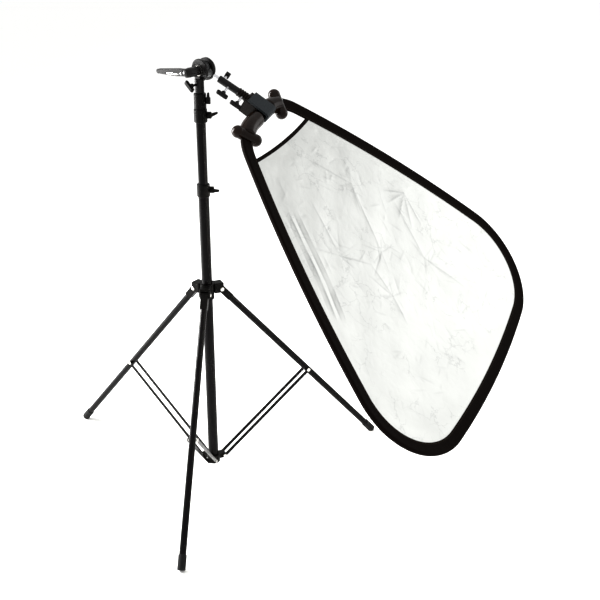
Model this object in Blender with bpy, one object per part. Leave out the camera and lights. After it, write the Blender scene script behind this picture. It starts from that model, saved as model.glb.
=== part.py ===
"""Collapsible hand-grip reflector held by a clamp arm on a folding light stand.

World frame: +Z up, floor at z = 0, metres. The column stands at COLUMN_X, COLUMN_Y, and every
measure below is taken from the column's foot. The front leg points along -Y.
"""
import math

import bmesh
import bpy
import numpy as np
from mathutils import Matrix, Vector

for old_object in list(bpy.data.objects):
    bpy.data.objects.remove(old_object, do_unlink=True)

# ---- driving dimensions, metres ------------------------------------------------------------
COLUMN_X = -0.18281
COLUMN_Y = 0.06026
GAP = 0.0003                    # air between neighbouring pieces

# telescoping column: outer radii of the four tubes, their walls and their lengths
TUBE_R = (0.0125, 0.0110, 0.0095, 0.0080)
TUBE_WALL = 0.0012
COLUMN_BOTTOM_Z = 0.0235
COLLAR_1_Z = (0.7165, 0.7465)
COLLAR_2_Z = (0.8910, 0.9210)
COLLAR_3_Z = (0.9213, 0.9565)
COLLAR_R = 0.0150
COLLAR_3_R = 0.0138
TUBE_2_LENGTH = 0.660
TUBE_3_LENGTH = 0.620
TUBE_4_LENGTH = 0.600
TUBE_4_TOP_Z = 0.9815

# folding tripod
LEG_AZIMUTHS = {"front": -90.0, "right": 30.0, "left": 150.0}
LEG_PIVOT_R = 0.0330
LEG_PIVOT_Z = 0.4840
LEG_SPREAD = 40.76              # degrees from upright
LEG_LENGTH = 0.6330
LEG_TUBE_R = 0.0080
FOOT_R = 0.0095
FOOT_LENGTH = 0.034
LEG_HEAD_LENGTH = 0.036
LEG_HEAD_HALF = 0.0087
BRACE_PIVOT_R = 0.0263
BRACE_PIVOT_Z = 0.0330
BRACE_LENGTH = 0.2997
BRACE_ANGLE = 50.51             # degrees from upright
BRACE_INNER = 0.0099            # half the space between the two bars
BRACE_THICK = 0.0016
BRACE_HALF_WIDTH = 0.0042
LEG_COLLAR_TOP = 0.0160         # above the leg pivots
LEG_COLLAR_BOTTOM = -0.0090

# grip head: the clamp axis points away from the lever, level, towards the back right
HEAD_AXIS = Vector((0.6, 0.8, 0.0))
HEAD_CENTRE = Vector((0.0, 0.0, 1.0073))
HEAD_DISC_R = 0.0250
SOCKET_R = 0.0105
SOCKET_Z = (0.9575, 0.9885)
KNOB_Z = 0.9770
BALL_R = 0.0110
BALL_CENTRE = Vector((0.0218, 0.0093, 1.0016))

# reflector plane: X across the panel, Y from the handle to the far edge, Z out of the silver face
PANEL_ORIGIN = Vector((0.13366, -0.01273, 0.91038))
PANEL_X = Vector((-0.30226, -0.93422, -0.18940))
PANEL_Y = Vector((0.67664, -0.07032, -0.73295))
CLAMP_X = -0.0155               # where the clamp holds the grip, along PANEL_X
ARM_OFFSET = 0.0120             # the arm's line passes this far in front of the grip's axis

# hoop line: corner, far-corner, side and far-edge arcs, each tangent to the next
CORNER_R = 0.1020
CORNER_X = 0.0370
FAR_CORNER_R = 0.1641
FAR_CORNER_X = 0.2353
FAR_CORNER_Y = 0.6196
FAR_EDGE_R = 2.2758
SIDE_R = 2.9138
HOOP_OFFSET = 0.0109
FABRIC_OFFSET = 0.0030
FABRIC_THICK = 0.0006
TAPE_Y = 0.0725
TAPE_SLOPE = -0.085
TAPE_WIDTH = 0.0120
HOOP_EXIT_ANGLE = 36.0          # degrees round the corner arc where the binding leaves the handle
GUARD_ANGLE = 26.8              # degrees round the corner arc where the hand guard stands
GRIP_R = 0.0115


# ---- shape helpers ---------------------------------------------------------------------------
def make_material(name, colour, metallic, roughness):
    """One Principled material."""
    material = bpy.data.materials.new(name)
    material.use_nodes = True
    shader = material.node_tree.nodes["Principled BSDF"]
    shader.inputs["Base Color"].default_value = (*colour, 1.0)
    shader.inputs["Metallic"].default_value = metallic
    shader.inputs["Roughness"].default_value = roughness
    return material


def make_frame(origin, z_axis, x_hint):
    """Frame at origin whose Z is z_axis and whose X is x_hint made square to it."""
    z_axis = Vector(z_axis).normalized()
    x_axis = Vector(x_hint)
    x_axis = (x_axis - z_axis * x_axis.dot(z_axis)).normalized()
    y_axis = z_axis.cross(x_axis)
    turn = Matrix((x_axis, y_axis, z_axis)).transposed().to_4x4()
    return Matrix.Translation(Vector(origin)) @ turn


def add_solid(name, bm, look, frame=Matrix.Identity(4)):
    """Turn a closed bmesh into a named object at the given frame, measured from the column's foot."""
    bmesh.ops.recalc_face_normals(bm, faces=bm.faces)
    mesh = bpy.data.meshes.new(name)
    bm.to_mesh(mesh)
    bm.free()
    colour, metallic, roughness = look
    mesh.materials.append(make_material(name, colour, metallic, roughness))
    obj = bpy.data.objects.new(name, mesh)
    bpy.context.collection.objects.link(obj)
    obj.matrix_world = Matrix.Translation((COLUMN_X, COLUMN_Y, 0.0)) @ frame
    bpy.context.view_layer.update()
    return obj


def set_origin(obj, point):
    """Move an object's origin to a point measured from the column's foot; its shape stays put."""
    place = obj.matrix_world.copy()
    shift = place.inverted() @ (Vector(point) + Vector((COLUMN_X, COLUMN_Y, 0.0)))
    obj.data.transform(Matrix.Translation(-shift))
    obj.matrix_world = place @ Matrix.Translation(shift)
    bpy.context.view_layer.update()


def combine(base, other, operation):
    """Boolean of two solids; the second is used up."""
    modifier = base.modifiers.new("combine", "BOOLEAN")
    modifier.operation = operation
    modifier.solver = "EXACT"
    modifier.object = other
    bpy.context.view_layer.update()
    graph = bpy.context.evaluated_depsgraph_get()
    mesh = bpy.data.meshes.new_from_object(base.evaluated_get(graph))
    base.modifiers.clear()
    base.data = mesh
    bpy.data.objects.remove(other, do_unlink=True)
    return base


def lathe(profile, segments=24, ring=False):
    """Profile of (radius, height) points carried round local Z; ring closes the profile on itself."""
    bm = bmesh.new()
    rings = []
    for radius, height in profile:
        if radius < 1e-7:
            rings.append([bm.verts.new((0.0, 0.0, height))] * segments)
            continue
        angles = [2.0 * math.pi * k / segments for k in range(segments)]
        circle = [(radius * math.cos(a), radius * math.sin(a), height) for a in angles]
        rings.append([bm.verts.new(point) for point in circle])
    steps = list(zip(rings, rings[1:]))
    if ring:
        steps.append((rings[-1], rings[0]))
    for low, high in steps:
        for k in range(segments):
            n = (k + 1) % segments
            corners = [low[k], low[n], high[n], high[k]]
            kept = [v for i, v in enumerate(corners) if v not in corners[:i]]
            if len(kept) > 2:
                bm.faces.new(kept)
    return bm


def rod(radius, low, high, segments=16, round_off=0.0):
    """Solid cylinder along local Z with chamfered ends."""
    c = round_off
    if c == 0.0:
        return lathe([(0.0, low), (radius, low), (radius, high), (0.0, high)], segments)
    profile = [(0.0, low), (radius - c, low), (radius, low + c)]
    profile += [(radius, high - c), (radius - c, high), (0.0, high)]
    return lathe(profile, segments)


def pipe(radius, bore, low, high, segments=24):
    """Open tube along local Z."""
    return lathe([(bore, low), (radius, low), (radius, high), (bore, high)], segments, ring=True)


def ball(radius, rows=10, segments=18):
    """Sphere as a lathed half circle."""
    turns = [math.pi * k / rows for k in range(rows + 1)]
    return lathe([(radius * math.sin(a), -radius * math.cos(a)) for a in turns], segments)


def block(x_span, y_span, z_span, edge=0.0, segments=2):
    """Box between the given spans, its edges rounded by edge."""
    bm = bmesh.new()
    corners = [bm.verts.new((x, y, z)) for x in x_span for y in y_span for z in z_span]
    sides = ((0, 1, 3, 2), (4, 6, 7, 5), (0, 4, 5, 1), (2, 3, 7, 6), (0, 2, 6, 4), (1, 5, 7, 3))
    for side in sides:
        bm.faces.new([corners[k] for k in side])
    if edge:
        bmesh.ops.bevel(bm, geom=bm.edges[:], offset=edge, segments=segments, profile=0.5, affect="EDGES")
    return bm


def prism(outline, low, high, edge=0.0):
    """Flat outline of (x, y) points made solid between two heights, with its rims chamfered."""
    bm = bmesh.new()
    bottom = [bm.verts.new((x, y, low)) for x, y in outline]
    top = [bm.verts.new((x, y, high)) for x, y in outline]
    bm.faces.new(bottom[::-1])
    bm.faces.new(top)
    count = len(outline)
    for k in range(count):
        n = (k + 1) % count
        bm.faces.new((bottom[k], bottom[n], top[n], top[k]))
    if edge:
        rims = [e for e in bm.edges if abs(e.verts[0].co.z - e.verts[1].co.z) < 1e-9]
        bmesh.ops.bevel(bm, geom=rims, offset=edge, segments=1, profile=0.5, affect="EDGES")
    return bm


def arc_points(centre, radius, start, stop, count):
    """Points on a circle between two angles in degrees."""
    angles = np.radians(np.linspace(start, stop, count))
    return [(centre[0] + radius * math.cos(a), centre[1] + radius * math.sin(a)) for a in angles]


def sweep(path, section, across):
    """Closed section of (side, normal) points carried along an open flat path of (x, y) points."""
    bm = bmesh.new()
    loops = []
    for point, side in zip(path, across):
        ring = [(point[0] + u * side[0], point[1] + u * side[1], v) for u, v in section]
        loops.append([bm.verts.new(place) for place in ring])
    count = len(section)
    for low, high in zip(loops, loops[1:]):
        for k in range(count):
            n = (k + 1) % count
            bm.faces.new((low[k], low[n], high[n], high[k]))
    bm.faces.new(loops[0][::-1])
    bm.faces.new(loops[-1])
    return bm


BLACK_METAL = ((0.020, 0.019, 0.018), 0.6, 0.32)
BLACK_PLASTIC = ((0.022, 0.021, 0.020), 0.0, 0.45)
BROWN_PLASTIC = ((0.030, 0.022, 0.018), 0.0, 0.50)
RUBBER = ((0.018, 0.018, 0.018), 0.0, 0.80)
CHROME = ((0.80, 0.80, 0.80), 1.0, 0.12)
STEEL = ((0.45, 0.45, 0.46), 1.0, 0.35)
GREY_METAL = ((0.20, 0.20, 0.20), 0.8, 0.45)
PAD_GREY = ((0.042, 0.056, 0.063), 0.0, 0.60)
SILVER = ((0.78, 0.78, 0.76), 0.6, 0.35)
WHITE = ((0.86, 0.86, 0.85), 0.0, 0.80)
BINDING = ((0.020, 0.017, 0.014), 0.0, 0.85)


# ---- column tubes ----------------------------------------------------------------------------
def tube_on_column(name, index, low, high):
    """One telescoping tube, its origin at its foot."""
    radius = TUBE_R[index]
    frame = Matrix.Translation((0.0, 0.0, low))
    return add_solid(name, pipe(radius, radius - TUBE_WALL, 0.0, high - low), BLACK_METAL, frame)


tube_on_column("column_tube", 0, COLUMN_BOTTOM_Z, COLLAR_1_Z[1] - 0.0065)
tube_on_column("riser_tube_1", 1, COLLAR_2_Z[1] - 0.0065 - TUBE_2_LENGTH, COLLAR_2_Z[1] - 0.0065)
tube_on_column("riser_tube_2", 2, COLLAR_3_Z[1] - 0.0065 - TUBE_3_LENGTH, COLLAR_3_Z[1] - 0.0065)
tube_on_column("stud_tube", 3, TUBE_4_TOP_Z - TUBE_4_LENGTH, TUBE_4_TOP_Z)


# ---- clamp collars and their levers --------------------------------------------------------------
PIN_OUT = 0.0048
LUG_HALF_Z = 0.0075


def clamp_collar(name, span, outer, lower_tube, upper_tube):
    """Ring over the top of one tube with a lip round the next, and a side lug for its lever pin."""
    mid = (span[0] + span[1]) / 2.0
    low = span[0] - mid
    high = span[1] - mid
    bore = TUBE_R[lower_tube] + GAP
    lip = TUBE_R[upper_tube] + GAP
    step = high - 0.0062
    c = 0.0012
    profile = [(bore, low), (outer - c, low), (outer, low + c), (outer, high - c), (outer - c, high)]
    profile += [(lip, high), (lip, step), (bore, step)]
    frame = Matrix.Translation((0.0, 0.0, mid))
    ring = add_solid(name, lathe(profile, 28, ring=True), BLACK_PLASTIC, frame)
    inner = bore + 0.0008
    lug = block((inner, outer + PIN_OUT + 0.0042), (0.0005, 0.0065), (-LUG_HALF_Z, LUG_HALF_Z), 0.0010)
    combine(ring, add_solid("lug", lug, BLACK_PLASTIC, frame), "UNION")
    pin_frame = frame @ make_frame((outer + PIN_OUT, 0.0, 0.0), (0, 1, 0), (1, 0, 0))
    combine(ring, add_solid("pin_hole", rod(0.0023, -0.001, 0.012), BLACK_PLASTIC, pin_frame), "DIFFERENCE")
    return mid


def clamp_lever(name, outer, height, reach, lean):
    """Thumb lever turning on a pin through the collar's lug; lean is its rise in degrees."""
    hub = arc_points((0.0, 0.0), 0.0042, 60.0, 300.0, 13)
    tip = arc_points((reach - 0.0025, 0.0), 0.0025, -70.0, 70.0, 7)
    frame = make_frame((outer + PIN_OUT, 0.0, height), (0, 1, 0), (1, 0, 0))
    frame = frame @ Matrix.Rotation(math.radians(-lean), 4, "Z")
    lever = add_solid(name, prism(hub + tip, -0.0062, -0.0003, 0.0006), BLACK_PLASTIC, frame)
    combine(lever, add_solid("lever_pin", rod(0.0020, -0.0078, 0.0080, 14), BLACK_METAL, frame), "UNION")


collar_1_mid = clamp_collar("collar_1", COLLAR_1_Z, COLLAR_R, 0, 1)
clamp_lever("collar_1_lever", COLLAR_R, collar_1_mid, 0.0175, 0.0)
collar_2_mid = clamp_collar("collar_2", COLLAR_2_Z, COLLAR_R, 1, 2)
clamp_lever("collar_2_lever", COLLAR_R, collar_2_mid, 0.0210, 22.0)
collar_3_mid = clamp_collar("collar_3", COLLAR_3_Z, COLLAR_3_R, 2, 3)
clamp_lever("collar_3_lever", COLLAR_3_R, collar_3_mid, 0.0200, 88.0)


# ---- T-shaped screw knobs ------------------------------------------------------------------------
def t_knob(name, frame, stem_from, reach, bar_half, look, stem_r=0.0026, bar_thick=0.0042):
    """Screw stem along local Z from stem_from to reach, with a thumb bar along local X at its end."""
    wing = arc_points((bar_half - 0.0035, 0.0), 0.0040, -90.0, 90.0, 7)
    other = arc_points((-bar_half + 0.0035, 0.0), 0.0040, 90.0, 270.0, 7)
    side = frame @ make_frame((0.0, 0.0, reach - 0.0042), (0, 1, 0), (1, 0, 0))
    bar = add_solid(name, prism(wing + other, -bar_thick, bar_thick, 0.0008), look, side)
    boss = rod(0.0050, reach - 0.0135, reach - 0.0030, 16)
    combine(bar, add_solid("knob_boss", boss, look, frame), "UNION")
    stem = rod(stem_r, stem_from, reach - 0.0050, 14)
    combine(bar, add_solid("knob_stem", stem, look, frame), "UNION")
    return bar


# ---- brace hub -------------------------------------------------------------------------------
def radial(azimuth):
    """Unit vector pointing out from the column at an azimuth in degrees."""
    angle = math.radians(azimuth)
    return Vector((math.cos(angle), math.sin(angle), 0.0))


def tangential(azimuth):
    """Unit vector square to the radial one, turning anticlockwise seen from above."""
    angle = math.radians(azimuth)
    return Vector((-math.sin(angle), math.cos(angle), 0.0))


HUB_LUG_R = 0.0062
HUB_LUG_HALF = BRACE_INNER - GAP
cup = [(0.0, 0.0185), (0.0150, 0.0185), (0.0160, 0.0195), (0.0160, 0.0390), (TUBE_R[0] + GAP, 0.0390)]
cup += [(TUBE_R[0] + GAP, COLUMN_BOTTOM_Z - GAP), (0.0, COLUMN_BOTTOM_Z - GAP)]
brace_hub = add_solid("brace_hub", lathe(cup, 28), BLACK_PLASTIC)
for azimuth in LEG_AZIMUTHS.values():
    pivot = radial(azimuth) * BRACE_PIVOT_R + Vector((0.0, 0.0, BRACE_PIVOT_Z))
    side_frame = make_frame(pivot, tangential(azimuth), radial(azimuth))
    tab = arc_points((0.0, 0.0), HUB_LUG_R, -90.0, 90.0, 11)
    tab += [(0.0137 - BRACE_PIVOT_R, HUB_LUG_R - 0.0004), (0.0137 - BRACE_PIVOT_R, -HUB_LUG_R + 0.0004)]
    lug = prism(tab, -HUB_LUG_HALF, HUB_LUG_HALF)
    combine(brace_hub, add_solid("hub_lug", lug, BLACK_PLASTIC, side_frame), "UNION")
    drill = rod(0.0026, -0.02, 0.02)
    combine(brace_hub, add_solid("hub_hole", drill, BLACK_PLASTIC, side_frame), "DIFFERENCE")


# ---- rivets ------------------------------------------------------------------------------------
def rivet(name, frame, shank_r, half, head_r, head_h):
    """Double-headed rivet along local Z, its heads' inner faces half away from the middle."""
    head = [(head_r, half), (head_r, half + head_h * 0.5), (head_r * 0.6, half + head_h), (0.0, half + head_h)]
    profile = [(r, -z) for r, z in reversed(head)] + [(shank_r, -half), (shank_r, half)] + head
    return add_solid(name, lathe(profile, 18), CHROME, frame)


# ---- leg collar ----------------------------------------------------------------------------------
LOBE_HALF = 0.0130
LOBE_REACH = 0.0385
leg_collar_frame = Matrix.Translation((0.0, 0.0, LEG_PIVOT_Z))
sleeve = pipe(0.0165, TUBE_R[0] + GAP, LEG_COLLAR_BOTTOM - 0.012, LEG_COLLAR_TOP, 32)
leg_collar = add_solid("leg_collar", sleeve, BLACK_PLASTIC, leg_collar_frame)
for azimuth in LEG_AZIMUTHS.values():
    out_frame = leg_collar_frame @ Matrix.Rotation(math.radians(azimuth), 4, "Z")
    lobe_height = (LEG_COLLAR_BOTTOM, LEG_COLLAR_TOP)
    lobe = block((0.0145, LOBE_REACH), (-LOBE_HALF, LOBE_HALF), lobe_height, 0.0028)
    combine(leg_collar, add_solid("lobe", lobe, BLACK_PLASTIC, out_frame), "UNION")
    slot_half = LEG_HEAD_HALF + GAP
    slot = block((0.0200, 0.0600), (-slot_half, slot_half), (-0.0300, 0.0112))
    combine(leg_collar, add_solid("slot", slot, BLACK_PLASTIC, out_frame), "DIFFERENCE")
    pivot = radial(azimuth) * LEG_PIVOT_R + Vector((0.0, 0.0, LEG_PIVOT_Z))
    side_frame = make_frame(pivot, tangential(azimuth), radial(azimuth))
    drill = rod(0.0030, -0.02, 0.02)
    combine(leg_collar, add_solid("pivot_hole", drill, BLACK_PLASTIC, side_frame), "DIFFERENCE")
knob_hole = make_frame((0.0, 0.0105, LEG_PIVOT_Z + 0.0040), (0, 1, 0), (1, 0, 0))
combine(leg_collar, add_solid("screw_hole", rod(0.0030, 0.0, 0.02), BLACK_PLASTIC, knob_hole), "DIFFERENCE")
knob_frame = make_frame((0.0, 0.0, LEG_PIVOT_Z + 0.0040), (0, 1, 0), (1, 0, 0))
t_knob("leg_collar_knob", knob_frame, 0.0135, 0.0400, 0.0130, BLACK_PLASTIC)


# ---- legs and braces -------------------------------------------------------------------------------
SPREAD = math.radians(LEG_SPREAD)
BRACE_TILT = math.radians(BRACE_ANGLE)
for side_name, azimuth in LEG_AZIMUTHS.items():
    outward = radial(azimuth)
    sideways = tangential(azimuth)
    pivot = outward * LEG_PIVOT_R + Vector((0.0, 0.0, LEG_PIVOT_Z))
    down_leg = outward * math.sin(SPREAD) - Vector((0.0, 0.0, math.cos(SPREAD)))
    leg_frame = make_frame(pivot, down_leg, sideways.cross(down_leg))
    side_frame = make_frame(pivot, sideways, outward)
    rivet("leg_rivet_" + side_name, side_frame, 0.0027, LOBE_HALF + GAP, 0.0046, 0.0016)

    # moulded leg head: a rounded square block turning on the rivet, with a plug into the tube
    head_half = LEG_HEAD_HALF
    outline = arc_points((0.0, 0.0), head_half, 180.0, 360.0, 13)
    outline += [(head_half, LEG_HEAD_LENGTH), (-head_half, LEG_HEAD_LENGTH)]
    flat_frame = leg_frame @ make_frame((0.0, 0.0, 0.0), (0, -1, 0), (1, 0, 0))
    block_shape = prism(outline, -head_half, head_half, 0.0010)
    leg_head = add_solid("leg_head_" + side_name, block_shape, BLACK_PLASTIC, flat_frame)
    plug = rod(LEG_TUBE_R - TUBE_WALL - GAP, LEG_HEAD_LENGTH - 0.004, LEG_HEAD_LENGTH + 0.018, 20)
    combine(leg_head, add_solid("plug", plug, BLACK_PLASTIC, leg_frame), "UNION")
    head_hole = add_solid("head_hole", rod(0.0030, -0.02, 0.02), BLACK_PLASTIC, side_frame)
    combine(leg_head, head_hole, "DIFFERENCE")

    # leg tube and its rubber foot, whose sole is cut level with the floor
    tube_end = LEG_LENGTH - 0.004
    leg_pipe = pipe(LEG_TUBE_R, LEG_TUBE_R - TUBE_WALL, LEG_HEAD_LENGTH + GAP, tube_end, 24)
    add_solid("leg_tube_" + side_name, leg_pipe, BLACK_METAL, leg_frame)
    foot_top = LEG_LENGTH - FOOT_LENGTH
    sock = LEG_TUBE_R + GAP
    foot_shape = [(0.0, LEG_LENGTH), (FOOT_R - 0.002, LEG_LENGTH), (FOOT_R - 0.0006, LEG_LENGTH - 0.0006)]
    foot_shape += [(FOOT_R, LEG_LENGTH - 0.002), (FOOT_R, foot_top + 0.001), (FOOT_R - 0.0006, foot_top)]
    foot_shape += [(sock, foot_top), (sock, tube_end + GAP), (0.0, tube_end + GAP)]
    foot = add_solid("foot_" + side_name, lathe(foot_shape, 24), RUBBER, leg_frame)
    end_point = pivot + down_leg * LEG_LENGTH
    floor_frame = Matrix.Translation((end_point.x, end_point.y, 0.0))
    under_floor = block((-0.04, 0.04), (-0.04, 0.04), (-0.03, 0.0))
    combine(foot, add_solid("floor_cut", under_floor, RUBBER, floor_frame), "DIFFERENCE")

    # two flat brace bars from the hub to the leg, straddling both
    hub_pivot = outward * BRACE_PIVOT_R + Vector((0.0, 0.0, BRACE_PIVOT_Z))
    up_brace = outward * math.sin(BRACE_TILT) + Vector((0.0, 0.0, math.cos(BRACE_TILT)))
    brace_frame = make_frame(hub_pivot, sideways, up_brace)
    bar_outline = arc_points((0.0, 0.0), BRACE_HALF_WIDTH, 90.0, 270.0, 9)
    bar_outline += arc_points((BRACE_LENGTH, 0.0), BRACE_HALF_WIDTH, -90.0, 90.0, 9)
    far_frame = brace_frame @ Matrix.Translation((BRACE_LENGTH, 0.0, 0.0))
    outer_half = BRACE_INNER + BRACE_THICK + GAP
    for letter, sign in (("a", -1.0), ("b", 1.0)):
        faces = sorted((sign * BRACE_INNER, sign * (BRACE_INNER + BRACE_THICK)))
        bar_name = "brace_%s_%s" % (side_name, letter)
        bar = add_solid(bar_name, prism(bar_outline, *faces), BLACK_METAL, brace_frame)
        near_hole = add_solid("near_hole", rod(0.0026, -0.02, 0.02), BLACK_METAL, brace_frame)
        combine(bar, near_hole, "DIFFERENCE")
        # short pin that holds this bar to the side of the leg tube
        pin = [(0.0, LEG_TUBE_R + GAP), (0.0023, LEG_TUBE_R + GAP), (0.0023, outer_half - GAP * 2.0)]
        pin += [(0.0044, outer_half - GAP * 2.0), (0.0044, outer_half + 0.0007)]
        pin += [(0.0026, outer_half + 0.0014), (0.0, outer_half + 0.0014)]
        pin = [(r, sign * z) for r, z in pin]
        combine(bar, add_solid("brace_pin", lathe(pin, 18), CHROME, far_frame), "UNION")
    rivet("hub_rivet_" + side_name, brace_frame, 0.0023, outer_half, 0.0042, 0.0014)


# ---- grip head -------------------------------------------------------------------------------------
# Stations along the clamp axis, counted from the column towards the back right.
CAP_FRONT = (0.0004, 0.0046)
JAW_FRONT = (0.0049, 0.0092)
JAW_REAR = (0.0095, 0.0190)
CAP_REAR = (0.0193, 0.0330)
AXLE_R = 0.0040
JAW_R = 0.0182
head_frame = make_frame(HEAD_CENTRE, HEAD_AXIS, (0, 0, 1))

socket_top = SOCKET_Z[1] - SOCKET_Z[0]
bore_top = TUBE_4_TOP_Z + GAP - SOCKET_Z[0]
socket_line = [(0.0, socket_top), (SOCKET_R, socket_top), (SOCKET_R, 0.001), (SOCKET_R - 0.001, 0.0)]
socket_line += [(TUBE_R[3] + GAP, 0.0), (TUBE_R[3] + GAP, bore_top), (0.0, bore_top)]
socket_frame = Matrix.Translation((0.0, 0.0, SOCKET_Z[0]))
head_socket = add_solid("head_socket", lathe(socket_line, 24), BLACK_METAL, socket_frame)
c = 0.0012
cap = [(0.0, CAP_FRONT[0]), (HEAD_DISC_R - c, CAP_FRONT[0]), (HEAD_DISC_R, CAP_FRONT[0] + c)]
cap += [(HEAD_DISC_R, CAP_FRONT[1]), (0.0, CAP_FRONT[1])]
combine(head_socket, add_solid("front_cap", lathe(cap, 32), BLACK_METAL, head_frame), "UNION")
neck = block((-0.0050, 0.0035), (-0.0075, 0.0075), (-0.0050, 0.0038), 0.0010)
neck_frame = make_frame((0.0, 0.0, 0.9905), HEAD_AXIS, (0, 0, 1))
combine(head_socket, add_solid("neck", neck, BLACK_METAL, neck_frame), "UNION")
axle_hole = rod(AXLE_R + GAP, -0.01, 0.05, 20)
combine(head_socket, add_solid("axle_hole", axle_hole, BLACK_METAL, head_frame), "DIFFERENCE")
knob_axis = -HEAD_AXIS
screw_frame = make_frame((0.0, 0.0, KNOB_Z), knob_axis, (0.8, -0.6, -0.80))
combine(head_socket, add_solid("screw_hole", rod(0.0029, 0.0, 0.02), BLACK_METAL, screw_frame), "DIFFERENCE")
t_knob("head_socket_knob", screw_frame, 0.0088, 0.0345, 0.0145, BLACK_PLASTIC)


def toothed_disc(radius, span, teeth=24, depth=0.0009):
    """Disc with a ribbed rim, bored for the axle."""
    rim = []
    for k in range(teeth * 2):
        angle = math.pi * k / teeth
        reach = radius - depth * (k % 2)
        rim.append((reach * math.cos(angle), reach * math.sin(angle)))
    return prism(rim, span[0], span[1])


jaw_front = add_solid("head_jaw_front", toothed_disc(JAW_R, JAW_FRONT), GREY_METAL, head_frame)
front_hole = add_solid("axle_hole", rod(AXLE_R + GAP, -0.01, 0.05, 20), GREY_METAL, head_frame)
combine(jaw_front, front_hole, "DIFFERENCE")
jaw_rear = add_solid("head_jaw_rear", toothed_disc(JAW_R, JAW_REAR), GREY_METAL, head_frame)
ball_frame = Matrix.Translation(BALL_CENTRE)
combine(jaw_rear, add_solid("ball", ball(BALL_R), GREY_METAL, ball_frame), "UNION")
rear_hole = add_solid("axle_hole", rod(AXLE_R + GAP, -0.01, 0.05, 20), GREY_METAL, head_frame)
combine(jaw_rear, rear_hole, "DIFFERENCE")

rear = [(0.0, CAP_REAR[0]), (HEAD_DISC_R, CAP_REAR[0]), (HEAD_DISC_R, CAP_REAR[0] + 0.006)]
rear += [(HEAD_DISC_R - 0.004, CAP_REAR[1] - 0.002), (0.0150, CAP_REAR[1]), (0.0, CAP_REAR[1])]
rear_cap = add_solid("head_cap_rear", lathe(rear, 32), BLACK_PLASTIC, head_frame)
combine(rear_cap, add_solid("ball_room", ball(BALL_R + GAP), BLACK_PLASTIC, ball_frame), "DIFFERENCE")
blind = rod(AXLE_R + GAP, 0.0, 0.0285, 20)
combine(rear_cap, add_solid("axle_hole", blind, BLACK_PLASTIC, head_frame), "DIFFERENCE")

WASHER = (-0.0042, -0.0003)
washer = pipe(0.0122, AXLE_R + GAP, WASHER[0], WASHER[1], 28)
add_solid("head_washer", washer, CHROME, head_frame)
BARREL_END = -0.0430
barrel = [(0.0, 0.0280), (AXLE_R, 0.0280), (AXLE_R, WASHER[0] - GAP), (0.0095, WASHER[0] - GAP)]
barrel += [(0.0105, -0.0060)]
barrel += [(0.0110, -0.0300), (0.0100, -0.0385), (0.0065, -0.0420), (0.0, BARREL_END)]
head_barrel = add_solid("head_lever_barrel", lathe(barrel, 24), BLACK_METAL, head_frame)
lever_dir = Vector((-0.795, 0.597, -0.105))
lever_origin = HEAD_CENTRE - HEAD_AXIS * 0.0310
lever_frame = make_frame(lever_origin, HEAD_AXIS, lever_dir)
lever_outline = [(0.0106, -0.0078), (0.0300, -0.0082), (0.0960, -0.0052), (0.1000, -0.0030)]
lever_outline += [(0.1000, 0.0030), (0.0960, 0.0052), (0.0300, 0.0082), (0.0106, 0.0078)]
lever_outline = [(x + 0.0012, y) for x, y in lever_outline]
add_solid("head_lever", prism(lever_outline, -0.0060, 0.0060, 0.0015), BLACK_METAL, lever_frame)


# ---- arm -----------------------------------------------------------------------------------------
PANEL_Z = PANEL_X.cross(PANEL_Y)
panel_frame = make_frame(PANEL_ORIGIN, PANEL_Z, PANEL_X)
grip_point = PANEL_ORIGIN + PANEL_X * CLAMP_X
arm_target = grip_point + PANEL_Z * ARM_OFFSET
ARM_AXIS = (arm_target - BALL_CENTRE).normalized()
arm_frame = make_frame(BALL_CENTRE, ARM_AXIS, PANEL_X)
ROD_R = 0.0040
ROD_FROM = BALL_R + GAP
ARM_TUBE = (0.0243, 0.0745)
ARM_TUBE_R = 0.0083
SLEEVE = (0.0748, 0.1045)
arm_rod = rod(ROD_R, ROD_FROM, 0.0980, 18)
add_solid("arm_rod", arm_rod, STEEL, arm_frame)
rod_room = rod(ROD_R + GAP, 0.0, 0.06, 20)
combine(rear_cap, add_solid("rod_room", rod_room, BLACK_PLASTIC, arm_frame), "DIFFERENCE")
arm_tube_profile = [(ROD_R + GAP, ARM_TUBE[0]), (0.0068, ARM_TUBE[0]), (ARM_TUBE_R, ARM_TUBE[0] + 0.002)]
arm_tube_profile += [(ARM_TUBE_R, ARM_TUBE[1]), (ROD_R + GAP, ARM_TUBE[1])]
add_solid("arm_tube", lathe(arm_tube_profile, 24, ring=True), BLACK_METAL, arm_frame)
rib_line = []
rib_count = 5
pitch = (SLEEVE[1] - SLEEVE[0]) / rib_count
for k in range(rib_count):
    start = SLEEVE[1] - pitch * k
    rib_line += [(0.0088, start), (0.0102, start - pitch * 0.2)]
    rib_line += [(0.0102, start - pitch * 0.7), (0.0088, start - pitch * 0.9)]
sleeve_bottom = 0.0990
sleeve_line = [(0.0, SLEEVE[1])] + rib_line + [(0.0088, SLEEVE[0]), (ROD_R + GAP, SLEEVE[0])]
sleeve_line += [(ROD_R + GAP, sleeve_bottom), (0.0, sleeve_bottom)]
add_solid("arm_sleeve", lathe(sleeve_line, 24), BROWN_PLASTIC, arm_frame)


def arm_knob_frame(station, sign):
    """Frame on the arm's line with Z square to it, towards or away from the near side."""
    origin = BALL_CENTRE + ARM_AXIS * station
    square = (PANEL_X - ARM_AXIS * PANEL_X.dot(ARM_AXIS)).normalized()
    return make_frame(origin, square * sign, ARM_AXIS)


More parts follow.
